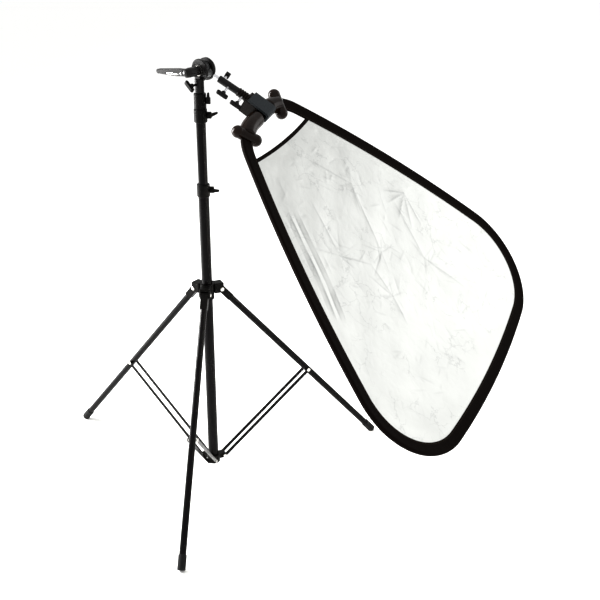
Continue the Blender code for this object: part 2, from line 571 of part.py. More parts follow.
t_knob("arm_knob_1", arm_knob_frame(0.0527, 1.0), ARM_TUBE_R + GAP, 0.0470, 0.0135, BLACK_PLASTIC)
t_knob("arm_knob_2", arm_knob_frame(0.0896, 1.0), 0.0102 + GAP, 0.0510, 0.0135, BLACK_PLASTIC)
small_frame = arm_knob_frame(0.0348, -1.0)
cube = block((-0.0055, 0.0055), (-0.0055, 0.0055), (0.0232, 0.0342), 0.0010)
arm_screw = add_solid("arm_screw", cube, BLACK_PLASTIC, small_frame)
thin_stem = rod(0.0024, ARM_TUBE_R + GAP, 0.0240, 14)
combine(arm_screw, add_solid("screw_stem", thin_stem, BLACK_PLASTIC, small_frame), "UNION")


# ---- clamp ---------------------------------------------------------------------------------------
# Clamp frame: X along the grip, Z along the arm, -Y out of the front.
clamp_z = (ARM_AXIS - PANEL_X * ARM_AXIS.dot(PANEL_X)).normalized()
clamp_frame = make_frame(grip_point, clamp_z, PANEL_X)
CLAMP_HALF = 0.0205
HOLD_R = GRIP_R + 0.0004
body = block((-CLAMP_HALF, CLAMP_HALF), (-0.0160, 0.0190), (-0.0465, 0.0140), 0.0020)
clamp_body = add_solid("clamp_body", body, BROWN_PLASTIC, clamp_frame)
bore_frame = clamp_frame @ make_frame((0.0, 0.0, 0.0), (1, 0, 0), (0, 0, 1))
grip_room = add_solid("grip_room", rod(HOLD_R, -0.03, 0.03, 28), BROWN_PLASTIC, bore_frame)
combine(clamp_body, grip_room, "DIFFERENCE")
front_room = block((-0.03, 0.03), (-0.03, 0.0), (-0.0115, 0.03))
combine(clamp_body, add_solid("front_room", front_room, BROWN_PLASTIC, clamp_frame), "DIFFERENCE")
sleeve_room = rod(0.0106, 0.0900, SLEEVE[1] + GAP, 24)
combine(clamp_body, add_solid("sleeve_room", sleeve_room, BROWN_PLASTIC, arm_frame), "DIFFERENCE")
set_origin(clamp_body, BALL_CENTRE + ARM_AXIS * (grip_point - BALL_CENTRE).dot(ARM_AXIS))

# front jaw: a flat plate along the arm that bends down over the far side of the grip
JAW_Y = -0.0163
JAW_THICK = 0.0050
JAW_HALF = 0.0215
JAW_HINGE_Y = -0.0188
JAW_HINGE_Z = -0.0385
jaw_line = [(-0.0390, JAW_Y), (-0.0390, JAW_Y - JAW_THICK + 0.001), (-0.0380, JAW_Y - JAW_THICK)]
jaw_line += arc_points((0.0120, JAW_Y + 0.0020), 0.0070, -90.0, 0.0, 7)
jaw_line += [(0.0190, 0.0010), (0.0165, 0.0020), (0.0145, 0.0010), (0.0145, JAW_Y + 0.0040)]
jaw_line += arc_points((0.0115, JAW_Y + 0.0030), 0.0030, 0.0, -90.0, 5)
jaw_frame = clamp_frame @ make_frame((0.0, 0.0, 0.0), (1, 0, 0), (0, 0, 1))
jaw_outline = [(z, -y) for z, y in jaw_line]
jaw_solid = prism(jaw_outline, -JAW_HALF, JAW_HALF, 0.0008)
clamp_jaw = add_solid("clamp_jaw", jaw_solid, PAD_GREY, jaw_frame)
set_origin(clamp_jaw, clamp_frame @ Vector((0.0, JAW_HINGE_Y, JAW_HINGE_Z)))


# ---- reflector -----------------------------------------------------------------------------------
def hoop_line(step):
    """Half of the hoop line from the middle of the handle to the middle of the far edge."""
    near = np.array((CORNER_X, CORNER_R))
    far = np.array((FAR_CORNER_X, FAR_CORNER_Y))
    gap = far - near
    length = np.hypot(*gap)
    reach_1 = SIDE_R - CORNER_R
    reach_2 = SIDE_R - FAR_CORNER_R
    along = (length ** 2 + reach_1 ** 2 - reach_2 ** 2) / (2.0 * length)
    off = math.sqrt(reach_1 ** 2 - along ** 2)
    unit = gap / length
    side_centre = near + unit * along + np.array((-unit[1], unit[0])) * off
    turn_1 = math.degrees(math.atan2(*(near - side_centre)[::-1]))
    turn_2 = math.degrees(math.atan2(*(far - side_centre)[::-1]))
    edge_y = FAR_CORNER_Y - math.sqrt((FAR_EDGE_R - FAR_CORNER_R) ** 2 - FAR_CORNER_X ** 2)
    turn_3 = math.degrees(math.atan2(FAR_CORNER_Y - edge_y, FAR_CORNER_X))
    arcs = ((near, CORNER_R, -90.0, turn_1), (side_centre, SIDE_R, turn_1, turn_2))
    arcs += ((far, FAR_CORNER_R, turn_2, turn_3), ((0.0, edge_y), FAR_EDGE_R, turn_3, 90.0))
    points = [(0.0, 0.0)]
    for centre, radius, start, stop in arcs:
        count = max(3, int(abs(math.radians(stop - start)) * radius / step) + 2)
        points += arc_points(centre, radius, start, stop, count)
    kept = [points[0]]
    for point in points[1:]:
        if math.hypot(point[0] - kept[-1][0], point[1] - kept[-1][1]) > 1e-6:
            kept.append(point)
    return kept


def full_loop(step):
    """Whole hoop line, from the handle's middle round the right side and back."""
    half = hoop_line(step)
    mirrored = [(-x, y) for x, y in half[-2:0:-1]]
    return np.array(half + mirrored)


def outward_sides(path, closed):
    """Unit vectors square to the path, pointing out of the loop."""
    before = np.roll(path, 1, axis=0)
    after = np.roll(path, -1, axis=0)
    if not closed:
        before[0] = path[0]
        after[-1] = path[-1]
    along = after - before
    along /= np.hypot(along[:, 0], along[:, 1])[:, None]
    return np.stack((along[:, 1], -along[:, 0]), axis=1)


def between_exits(path, angle):
    """Part of the loop outside the handle, cut at the same angle on both corner arcs."""
    turn = math.radians(angle)
    exit_y = CORNER_R * (1.0 - math.cos(turn))
    exit_point = (CORNER_X + CORNER_R * math.sin(turn), exit_y)
    clear = exit_y + 0.004
    kept = [p for p in path if p[1] > clear]
    return np.array([exit_point] + [tuple(p) for p in kept] + [(-exit_point[0], exit_y)])


def clip_below(polygon, level, slope, keep_above):
    """Part of a convex polygon above or below the line y = level + slope * x."""
    result = []
    count = len(polygon)
    for k in range(count):
        a = polygon[k]
        b = polygon[(k + 1) % count]
        side_a = a[1] - level - slope * a[0]
        side_b = b[1] - level - slope * b[0]
        if not keep_above:
            side_a = -side_a
            side_b = -side_b
        if side_a >= 0.0:
            result.append(tuple(a))
        if side_a * side_b < 0.0:
            share = side_a / (side_a - side_b)
            result.append((a[0] + (b[0] - a[0]) * share, a[1] + (b[1] - a[1]) * share))
    return result


LOOP_STEP = 0.030
hoop_loop = full_loop(LOOP_STEP)
loop_out = outward_sides(hoop_loop, True)

band = between_exits(hoop_loop, HOOP_EXIT_ANGLE)
band_out = outward_sides(band, False)
upper = [(-15.0, 1.90), (-4.0, 2.60), (6.0, 4.60), (11.0, 5.40), (14.0, 4.60), (15.0, 2.50)]
lining = [(13.9, 2.00), (13.2, 3.60), (10.5, 4.10), (5.5, 2.70), (-4.0, 1.20), (-15.0, 1.05)]
outer_skin = upper + [(u, -v) for u, v in reversed(upper)]
inner_skin = [(u, -v) for u, v in reversed(lining)] + lining
binding_section = [(u / 1000.0, v / 1000.0) for u, v in outer_skin + inner_skin]
add_solid("edge_binding", sweep(band, binding_section, band_out), BINDING, panel_frame)

strip = between_exits(hoop_loop, HOOP_EXIT_ANGLE + 0.5)
strip_out = outward_sides(strip, False)
low_u = HOOP_OFFSET - 0.0006
high_u = HOOP_OFFSET + 0.0006
hoop_section = [(low_u, -0.0033), (high_u, -0.0033), (high_u, 0.0033), (low_u, 0.0033)]
add_solid("hoop_spring", sweep(strip, hoop_section, strip_out), STEEL, panel_frame)

fabric_edge = hoop_loop + loop_out * FABRIC_OFFSET
panel_outline = clip_below(fabric_edge, TAPE_Y + GAP, TAPE_SLOPE, True)
near_layer = (0.00015, 0.00015 + FABRIC_THICK)
far_layer = (-0.00015 - FABRIC_THICK, -0.00015)
add_solid("fabric_silver", prism(panel_outline, *near_layer), SILVER, panel_frame)
add_solid("fabric_white", prism(panel_outline, *far_layer), WHITE, panel_frame)
tape_outline = clip_below(fabric_edge, TAPE_Y, TAPE_SLOPE, False)
tape_outline = clip_below(tape_outline, TAPE_Y - TAPE_WIDTH, TAPE_SLOPE, True)
add_solid("fabric_top_tape", prism(tape_outline, -0.00080, 0.00080), BINDING, panel_frame)

# handle: a round grip along the hoop line between two dumbbell hand guards
grip_end = math.radians(GUARD_ANGLE)
grip_arc = arc_points((CORNER_X, CORNER_R), CORNER_R, -90.0, -90.0 + GUARD_ANGLE, 7)
grip_path = np.array([(-x, y) for x, y in reversed(grip_arc)] + grip_arc)
circle = arc_points((0.0, 0.0), GRIP_R, 0.0, 345.0, 24)
grip = sweep(grip_path, circle, outward_sides(grip_path, False))
handle = add_solid("handle", grip, BROWN_PLASTIC, panel_frame)
LOBE_R = 0.0140
WAIST_R = 0.0108
LOBE_SPACING = 0.0240
guard_profile = [(0.0, -LOBE_SPACING - LOBE_R)]
for angle in (-60.0, -30.0, 0.0, 35.0):
    turn = math.radians(angle)
    guard_profile.append((LOBE_R * math.cos(turn), -LOBE_SPACING + LOBE_R * math.sin(turn)))
guard_profile.append((WAIST_R, 0.0))
guard_profile += [(r, -z) for r, z in reversed(guard_profile[:-1])]
for sign in (1.0, -1.0):
    centre = (sign * (CORNER_X + CORNER_R * math.sin(grip_end)), CORNER_R * (1.0 - math.cos(grip_end)), 0.0)
    guard_frame = panel_frame @ make_frame(centre, (-sign * 0.532, 0.846, 0.0), (0, 0, 1))
    combine(handle, add_solid("guard", lathe(guard_profile, 20), BROWN_PLASTIC, guard_frame), "UNION")
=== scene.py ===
import math

import bpy
import numpy as np
from mathutils import Matrix


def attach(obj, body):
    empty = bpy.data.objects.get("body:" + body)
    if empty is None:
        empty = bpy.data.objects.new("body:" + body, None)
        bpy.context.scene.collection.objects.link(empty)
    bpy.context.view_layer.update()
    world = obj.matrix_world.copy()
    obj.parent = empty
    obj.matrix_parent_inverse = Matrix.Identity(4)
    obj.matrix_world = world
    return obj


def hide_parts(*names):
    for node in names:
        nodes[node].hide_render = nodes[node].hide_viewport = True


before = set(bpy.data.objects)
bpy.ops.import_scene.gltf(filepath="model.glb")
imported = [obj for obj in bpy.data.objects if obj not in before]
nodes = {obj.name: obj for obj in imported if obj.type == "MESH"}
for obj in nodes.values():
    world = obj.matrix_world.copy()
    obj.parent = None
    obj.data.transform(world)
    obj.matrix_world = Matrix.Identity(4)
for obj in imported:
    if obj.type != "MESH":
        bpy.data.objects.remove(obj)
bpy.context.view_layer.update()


# ---- column, risers, leg tubes and brace bars --------------------------------------------------
# Thin drawn steel tubes, 25 mm down to 16 mm, and flat 8 mm steel bars. They are sprayed and baked
# black enamel; collars and rivets hold them, and the risers slide inside one another.
SIDES = ("front", "right", "left")
TUBES = ["column_tube", "riser_tube_1", "riser_tube_2", "stud_tube"]
TUBES += ["leg_tube_" + side for side in SIDES]
BARS = ["brace_%s_%s" % (side, letter) for side in SIDES for letter in "ab"]
ENAMEL_BLACK = "#060405"
ENAMEL_WORN = "#0e0c0c"
ORANGE_PEEL_MM = 2.2
HANDLING_MM = 60.0


def linear(hex_colour, alpha=1.0):
    """sRGB hex to linear light: ((c + 0.055) / 1.055) to the power 2.4, or c / 12.92 when dark."""
    values = np.array([int(hex_colour[k:k + 2], 16) for k in (1, 3, 5)]) / 255.0
    bright = ((values + 0.055) / 1.055) ** 2.4
    return (*np.where(values > 0.04045, bright, values / 12.92).tolist(), alpha)


def add_node(tree, kind, settings=None, links=None):
    """Adds one shader node, sets its inputs or properties, and links sockets into its inputs."""
    node = tree.nodes.new(kind)
    for key, value in (settings or {}).items():
        if isinstance(key, int) or key in node.inputs:
            node.inputs[key].default_value = value
        else:
            setattr(node, key, value)
    for key, socket in (links or {}).items():
        tree.links.new(socket, node.inputs[key])
    return node


def start_material(name, **sockets):
    """A new material: returns it, its tree, its Principled shader and its Object coordinates."""
    material = bpy.data.materials.new(name)
    material.use_nodes = True
    tree = material.node_tree
    shader = tree.nodes["Principled BSDF"]
    for key, value in sockets.items():
        shader.inputs[key.replace("_", " ")].default_value = value
    place = add_node(tree, "ShaderNodeTexCoord").outputs["Object"]
    return material, tree, shader, place


def dress(names, material, sharp=35.0):
    """Gives CAD nodes a material and smooth shading, with edges over the angle kept sharp."""
    for name in names:
        mesh = nodes[name].data
        mesh.materials.clear()
        mesh.materials.append(material)
        mesh.shade_smooth()
        mesh.set_sharp_from_angle(angle=math.radians(sharp))


# Baked enamel: a deep black gloss with faint orange peel and duller patches where hands hold it.
enamel, tree, shader, place = start_material("baked_black_enamel", Roughness=0.24, IOR=1.5)
shader.inputs["Specular IOR Level"].default_value = 0.12
handled = add_node(
    tree, "ShaderNodeTexNoise", {"Scale": 1000.0 / HANDLING_MM, "Detail": 4.0}, {"Vector": place}
)
wear = add_node(
    tree, "ShaderNodeMapRange", {1: 0.45, 2: 0.75, 3: 0.20, 4: 0.36}, {0: handled.outputs["Fac"]}
)
tree.links.new(wear.outputs[0], shader.inputs["Roughness"])
shade = add_node(tree, "ShaderNodeValToRGB", links={"Fac": handled.outputs["Fac"]})
shade.color_ramp.elements[0].position = 0.35
shade.color_ramp.elements[0].color = linear(ENAMEL_BLACK)
shade.color_ramp.elements[1].position = 0.80
shade.color_ramp.elements[1].color = linear(ENAMEL_WORN)
tree.links.new(shade.outputs["Color"], shader.inputs["Base Color"])
peel = add_node(
    tree, "ShaderNodeTexNoise", {"Scale": 1000.0 / ORANGE_PEEL_MM, "Detail": 1.0}, {"Vector": place}
)
bump = add_node(
    tree, "ShaderNodeBump", {"Strength": 0.10, "Distance": 0.0002}, {"Height": peel.outputs["Fac"]}
)
tree.links.new(bump.outputs["Normal"], shader.inputs["Normal"])
dress(TUBES + BARS, enamel)


# ---- moulded collars, hub, leg heads, levers and knobs ------------------------------------------
# Glass-filled nylon mouldings pressed on to the tubes. The tools were spark-eroded, so the skin has
# a fine even grain that spreads the light, and it scuffs a little lighter on the high parts.
MOULDINGS = ["collar_1", "collar_2", "collar_3", "collar_1_lever", "collar_2_lever", "collar_3_lever"]
MOULDINGS += ["leg_collar", "leg_collar_knob", "brace_hub", "head_socket_knob", "head_cap_rear"]
MOULDINGS += ["leg_head_" + side for side in SIDES]
NYLON_BLACK = "#080706"
NYLON_SCUFF = "#161412"
GRAIN_MM = 1.4                  # the real grain is 0.3 mm; drawn coarser so that it shows

# Filled nylon: a dull black whose fine grain breaks every highlight, paler in scuffed patches.
nylon, tree, shader, place = start_material("glass_filled_nylon", Roughness=0.42, IOR=1.5)
shader.inputs["Specular IOR Level"].default_value = 0.10
grain = add_node(
    tree, "ShaderNodeTexNoise", {"Scale": 1000.0 / GRAIN_MM, "Detail": 2.0}, {"Vector": place}
)
scuff = add_node(
    tree, "ShaderNodeTexNoise", {"Scale": 45.0, "Detail": 6.0, "Roughness": 0.7}, {"Vector": place}
)
shade = add_node(tree, "ShaderNodeValToRGB", links={"Fac": scuff.outputs["Fac"]})
shade.color_ramp.elements[0].position = 0.45
shade.color_ramp.elements[0].color = linear(NYLON_BLACK)
shade.color_ramp.elements[1].position = 0.78
shade.color_ramp.elements[1].color = linear(NYLON_SCUFF)
tree.links.new(shade.outputs["Color"], shader.inputs["Base Color"])
spread = add_node(
    tree, "ShaderNodeMapRange", {1: 0.3, 2: 0.7, 3: 0.36, 4: 0.50}, {0: grain.outputs["Fac"]}
)
tree.links.new(spread.outputs[0], shader.inputs["Roughness"])
bump = add_node(
    tree, "ShaderNodeBump", {"Strength": 0.35, "Distance": 0.0003}, {"Height": grain.outputs["Fac"]}
)
tree.links.new(bump.outputs["Normal"], shader.inputs["Normal"])
dress(MOULDINGS, nylon)


# ---- rivets and the head's washer ---------------------------------------------------------------
# Turned steel rivets with domed heads, nickel plated, that the legs and braces swing on, and the
# plated washer under the head's lever. They are bright, with hair-fine turning marks.
RIVETS = [kind + side for kind in ("leg_rivet_", "hub_rivet_") for side in SIDES]
NICKEL = "#d9d7d2"
TURNING_MM = 0.9

# Plated nickel: small sharp white glints, softened a little by the turning marks.
nickel, tree, shader, place = start_material("plated_nickel", Metallic=1.0, Roughness=0.16)
shader.inputs["Base Color"].default_value = linear(NICKEL)
marks = add_node(
    tree, "ShaderNodeTexNoise", {"Scale": 1000.0 / TURNING_MM, "Detail": 3.0}, {"Vector": place}
)
spread = add_node(
    tree, "ShaderNodeMapRange", {1: 0.3, 2: 0.7, 3: 0.10, 4: 0.26}, {0: marks.outputs["Fac"]}
)
tree.links.new(spread.outputs[0], shader.inputs["Roughness"])
bump = add_node(
    tree, "ShaderNodeBump", {"Strength": 0.08, "Distance": 0.0001}, {"Height": marks.outputs["Fac"]}
)
tree.links.new(bump.outputs["Normal"], shader.inputs["Normal"])
dress(RIVETS + ["head_washer"], nickel, 50.0)

# The pin at the outer end of each brace bar is plated too: its faces stand proud of the flat sides.
PROUD_BY = 0.00005              # faces further than this past the flat sides belong to the pin
PIN_SLOT = 1
for name in BARS:
    mesh = nodes[name].data
    spots = np.array([vertex.co[:] for vertex in mesh.vertices])
    side_normal = np.array(max(mesh.polygons, key=lambda face: face.area).normal)
    from_centre = np.linalg.norm(spots - spots.mean(axis=0), axis=1)
    reach = np.linalg.norm(spots - spots[np.argmax(from_centre)], axis=1)
    across = spots @ side_normal
    halves = [across[reach < reach.max() / 2.0], across[reach >= reach.max() / 2.0]]
    plain = min(halves, key=np.ptp)
    mesh.materials.append(nickel)
    for face in mesh.polygons:
        depth = float(np.dot(np.array(face.center[:]), side_normal))
        if depth < plain.min() - PROUD_BY or depth > plain.max() + PROUD_BY:
            face.material_index = PIN_SLOT


# ---- feet ---------------------------------------------------------------------------------------
# Moulded rubber ferrules pushed over the leg ends, where they stay by their own grip. They are matt,
# and greyed by floor dust towards the tip.
RUBBER_BLACK = "#0f0f0f"
RUBBER_DUST = "#2c2a28"
DUST_HEIGHT = 0.012

# Moulded rubber: flat black with no gloss, turning dusty brown-grey in clouds near the floor.
rubber, tree, shader, place = start_material("moulded_rubber", Roughness=0.78)
shader.inputs["Specular IOR Level"].default_value = 0.3
height = add_node(tree, "ShaderNodeSeparateXYZ", links={0: place})
low = add_node(
    tree, "ShaderNodeMapRange", {1: 0.0, 2: DUST_HEIGHT, 3: 0.8, 4: 0.0}, {0: height.outputs["Z"]}
)
cloud = add_node(tree, "ShaderNodeTexNoise", {"Scale": 260.0, "Detail": 5.0}, {"Vector": place})
dust = add_node(
    tree, "ShaderNodeMath", {"operation": "MULTIPLY"}, {0: low.outputs[0], 1: cloud.outputs["Fac"]}
)
mix = add_node(
    tree, "ShaderNodeMix", {"data_type": "RGBA", 6: linear(RUBBER_BLACK), 7: linear(RUBBER_DUST)}
)
tree.links.new(dust.outputs[0], mix.inputs[0])
tree.links.new(mix.outputs[2], shader.inputs["Base Color"])
bump = add_node(
    tree, "ShaderNodeBump", {"Strength": 0.4, "Distance": 0.0004}, {"Height": cloud.outputs["Fac"]}
)
tree.links.new(bump.outputs["Normal"], shader.inputs["Normal"])
dress(["foot_" + side for side in SIDES], rubber)


# ---- grip head ----------------------------------------------------------------------------------
# A die-cast socket and two round caps squeeze ribbed zinc jaws on a bolt; the long lever turns the
# bolt. The castings are black powder coat, whose fine pebble breaks the gloss; the jaws are bare.
STAND_AT = np.array((-0.18281, 0.06026, 0.0))
HEAD_AXIS = np.array((0.6, 0.8, 0.0))
HEAD_CENTRE = STAND_AT + (0.0, 0.0, 1.0073)
POWDER_BLACK = "#0b0a0a"
POWDER_GLINT = "#1c1a1a"
PEBBLE_MM = 1.6
ZINC_LIGHT = "#8f9090"
ZINC_DARK = "#3a3b3b"

# Powder coat: a satin black with pebbled highlights and slightly paler pits.
powder, tree, shader, place = start_material("black_powder_coat", Roughness=0.30)
shader.inputs["Specular IOR Level"].default_value = 0.20
pebble = add_node(
    tree, "ShaderNodeTexVoronoi", {"Scale": 1000.0 / PEBBLE_MM, "feature": "SMOOTH_F1"}, {"Vector": place}
)
mix = add_node(
    tree, "ShaderNodeMix", {"data_type": "RGBA", 6: linear(POWDER_BLACK), 7: linear(POWDER_GLINT)}
)
tree.links.new(pebble.outputs["Distance"], mix.inputs[0])
tree.links.new(mix.outputs[2], shader.inputs["Base Color"])
bump = add_node(tree, "ShaderNodeBump", {"Strength": 0.25, "Distance": 0.0003, "invert": True})
tree.links.new(pebble.outputs["Distance"], bump.inputs["Height"])
tree.links.new(bump.outputs["Normal"], shader.inputs["Normal"])
dress(["head_socket", "head_lever_barrel", "head_lever", "arm_tube"], powder)

# Bare zinc casting: a dull mid-grey metal, mottled darker with tarnish between the teeth.
zinc, tree, shader, place = start_material("bare_zinc_casting", Metallic=0.9, Roughness=0.42)
tarnish = add_node(
    tree, "ShaderNodeTexNoise", {"Scale": 160.0, "Detail": 6.0, "Roughness": 0.65}, {"Vector": place}
)
shade = add_node(tree, "ShaderNodeValToRGB", links={"Fac": tarnish.outputs["Fac"]})
shade.color_ramp.elements[0].position = 0.38
shade.color_ramp.elements[0].color = linear(ZINC_DARK)
shade.color_ramp.elements[1].position = 0.66
shade.color_ramp.elements[1].color = linear(ZINC_LIGHT)
tree.links.new(shade.outputs["Color"], shader.inputs["Base Color"])
bump = add_node(
    tree, "ShaderNodeBump", {"Strength": 0.2, "Distance": 0.0003}, {"Height": tarnish.outputs["Fac"]}
)
tree.links.new(bump.outputs["Normal"], shader.inputs["Normal"])
dress(["head_jaw_front", "head_jaw_rear"], zinc, 20.0)


# ---- bright strip and screw on the lever --------------------------------------------------------
# A polished steel strip is let into the lower half of the lever's near face, and one small steel
# screw with a low domed head sits beside it, near the barrel.
LEVER_BEFORE = 0.0310           # the lever's plane lies this far before the head's centre
LEVER_ORIGIN = HEAD_CENTRE - HEAD_AXIS * LEVER_BEFORE
LEVER_ALONG = np.array((-0.795, 0.597, -0.105))
STRIP_FROM = 0.026
STRIP_TO = 0.066
STRIP_HALF = 0.0018
STRIP_DROP = 0.0034
STRIP_RISE = 0.0005
SCREW_ALONG = 0.019
SCREW_DROP = 0.002
SCREW_R = 0.0026
SCREW_RISE = 0.0008
FACE_OUT = 0.0060               # from the lever's own middle plane to its near face
STRIP_PALE = "#e6e6e4"
STRIP_GREY = "#c9cac9"


def axes(z_axis, x_hint):
    """Rows x, y, z: z along the axis, x the hint made square to it, y square to both."""
    z = np.asarray(z_axis) / np.linalg.norm(z_axis)
    x = np.asarray(x_hint) - z * np.dot(x_hint, z)
    x = x / np.linalg.norm(x)
    return np.array((x, np.cross(z, x), z))


def grid_piece(name, points, material, body, uv=None):
    """Surface from a grid of points (rows, columns, 3), each row a closed ring: a cell is one face.
    uv is a value for each row and one for each column; the piece rides the body, if one is given."""
    rows, columns = points.shape[:2]
    r, c = np.meshgrid(np.arange(rows - 1), np.arange(columns), indexing="ij")
    c2 = (c + 1) % columns
    top = (r + 1) * columns
    faces = np.stack((r * columns + c, r * columns + c2, top + c2, top + c), axis=-1)
    mesh = bpy.data.meshes.new(name)
    mesh.from_pydata(points.reshape(-1, 3), [], faces.reshape(-1, 4).tolist())
    if uv is not None:
        layer = mesh.uv_layers.new(name="surface")
        along = np.stack((r, r, r + 1, r + 1), axis=-1)
        across = np.stack((c, c + 1, c + 1, c), axis=-1)
        pairs = np.stack((uv[0][along], uv[1][across]), axis=-1)
        layer.data.foreach_set("uv", pairs.reshape(-1))
    mesh.materials.append(material)
    mesh.shade_smooth()
    piece = bpy.data.objects.new(name, mesh)
    bpy.context.scene.collection.objects.link(piece)
    if body:
        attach(piece, body)
    return piece


def domed_plate(centre, x_axis, y_axis, out, half_x, half_y, rise, count=24):
    """Rounded plate: rings of shares 0 to 1 of the superellipse |x/a|^4 + |y/b|^4 = 1, each raised by
    its own part of the rise along the outward axis, the last one dropped to sink the rim."""
    shares = np.array((0.0, 0.5, 0.86, 0.96, 1.0, 1.0))
    heights = rise * np.array((1.0, 1.0, 0.96, 0.72, 0.3, -0.8))
    angles = np.linspace(0.0, 2.0 * np.pi, count, endpoint=False)
    u = np.sign(np.cos(angles)) * np.abs(np.cos(angles)) ** 0.5
    v = np.sign(np.sin(angles)) * np.abs(np.sin(angles)) ** 0.5
    u = shares[:, None] * u[None, :] * half_x
    v = shares[:, None] * v[None, :] * half_y
    return centre + u[..., None] * x_axis + v[..., None] * y_axis + heights[:, None, None] * out


# Polished steel: an almost white mirror, with pale and greyer patches from rubbing.
polished, tree, shader, place = start_material("polished_steel", Metallic=1.0, Roughness=0.10)
rub = add_node(tree, "ShaderNodeTexNoise", {"Scale": 500.0, "Detail": 3.0}, {"Vector": place})
shade = add_node(tree, "ShaderNodeMix", {"data_type": "RGBA", 6: linear(STRIP_PALE), 7: linear(STRIP_GREY)})
tree.links.new(rub.outputs["Fac"], shade.inputs[0])
tree.links.new(shade.outputs[2], shader.inputs["Base Color"])
lever_x, lever_y, lever_z = axes(HEAD_AXIS, LEVER_ALONG)
middle = LEVER_ORIGIN + lever_x * (STRIP_FROM + STRIP_TO) / 2.0 - lever_z * FACE_OUT - lever_y * STRIP_DROP
strip_reach = (STRIP_TO - STRIP_FROM) / 2.0
strip = domed_plate(middle, lever_x, lever_y, -lever_z, strip_reach, STRIP_HALF, STRIP_RISE, 48)
grid_piece("lever_strip", strip[:, ::-1], polished, "head_lever")
screw_at = LEVER_ORIGIN + lever_x * SCREW_ALONG - lever_z * FACE_OUT - lever_y * SCREW_DROP
screw = domed_plate(screw_at, lever_x, lever_y, -lever_z, SCREW_R, SCREW_R, SCREW_RISE)
grid_piece("lever_screw", screw[:, ::-1], polished, "head_lever")


# ---- arm ----------------------------------------------------------------------------------------
# A ground steel rod in a black tube; the clamp's ribbed sleeve slides on its end. The three screws
# that lock them are nylon knobs on zinc-plated studs.
STEEL_LIGHT = "#c6c6c8"
GRIND_MM = 0.8
SLEEVE_BROWN = "#0c0806"
SLEEVE_WORN = "#1a120d"
LONG_STUD = 0.032               # the bare part of each stud ends here, from the arm's line
SHORT_STUD = 0.0228

# Ground steel: bright satin metal with fine uneven lines in its gloss.
ground, tree, shader, place = start_material("ground_steel", Metallic=1.0, Roughness=0.28)
shader.inputs["Base Color"].default_value = linear(STEEL_LIGHT)
lines = add_node(
    tree, "ShaderNodeTexNoise", {"Scale": 1000.0 / GRIND_MM, "Detail": 2.0}, {"Vector": place}
)
spread = add_node(
    tree, "ShaderNodeMapRange", {1: 0.3, 2: 0.7, 3: 0.18, 4: 0.40}, {0: lines.outputs["Fac"]}
)
tree.links.new(spread.outputs[0], shader.inputs["Roughness"])
dress(["arm_rod", "hoop_spring"], ground)

BALL_CENTRE = STAND_AT + (0.0218, 0.0093, 1.0016)
ARM_AXIS = np.array((0.8375, -0.0789, -0.5407))
ARM_AXIS = ARM_AXIS / np.linalg.norm(ARM_AXIS)


def stud_and_knob(name, bare_to):
    """Dull black nylon whose stud, the part nearer the arm's line than bare_to, is bright plated steel:
    distance squared from the line = |p|^2 - (p . axis)^2, with p measured from the ball's centre."""
    material, tree, shader, place = start_material(name, Roughness=0.42)
    shader.inputs["Specular IOR Level"].default_value = 0.10
    near = add_node(
        tree, "ShaderNodeVectorMath", {"operation": "SUBTRACT", 1: BALL_CENTRE.tolist()}, {0: place}
    )
    along = add_node(tree, "ShaderNodeVectorMath", {"operation": "DOT_PRODUCT", 1: ARM_AXIS.tolist()})
    tree.links.new(near.outputs[0], along.inputs[0])
    reach = add_node(tree, "ShaderNodeVectorMath", {"operation": "LENGTH"}, {0: near.outputs[0]})
    far_2 = add_node(tree, "ShaderNodeMath", {"operation": "POWER", 1: 2.0}, {0: reach.outputs["Value"]})
    along_2 = add_node(
        tree, "ShaderNodeMath", {"operation": "POWER", 1: 2.0}, {0: along.outputs["Value"]}
    )
    side_2 = add_node(tree, "ShaderNodeMath", {"operation": "SUBTRACT"})
    tree.links.new(far_2.outputs[0], side_2.inputs[0])
    tree.links.new(along_2.outputs[0], side_2.inputs[1])
    bare = add_node(
        tree, "ShaderNodeMath", {"operation": "LESS_THAN", 1: bare_to ** 2}, {0: side_2.outputs[0]}
    )
    mix = add_node(
        tree, "ShaderNodeMix", {"data_type": "RGBA", 6: linear(NYLON_BLACK), 7: linear(STEEL_LIGHT)}
    )
    tree.links.new(bare.outputs[0], mix.inputs[0])
    tree.links.new(mix.outputs[2], shader.inputs["Base Color"])
    tree.links.new(bare.outputs[0], shader.inputs["Metallic"])
    grain = add_node(tree, "ShaderNodeTexNoise", {"Scale": 1000.0 / GRAIN_MM}, {"Vector": place})
    bump = add_node(
        tree, "ShaderNodeBump", {"Strength": 0.3, "Distance": 0.0003}, {"Height": grain.outputs["Fac"]}
    )
    tree.links.new(bump.outputs["Normal"], shader.inputs["Normal"])
    return material


dress(["arm_knob_1", "arm_knob_2"], stud_and_knob("nylon_knob_on_plated_stud", LONG_STUD))
dress(["arm_screw"], stud_and_knob("nylon_cube_on_plated_stud", SHORT_STUD))

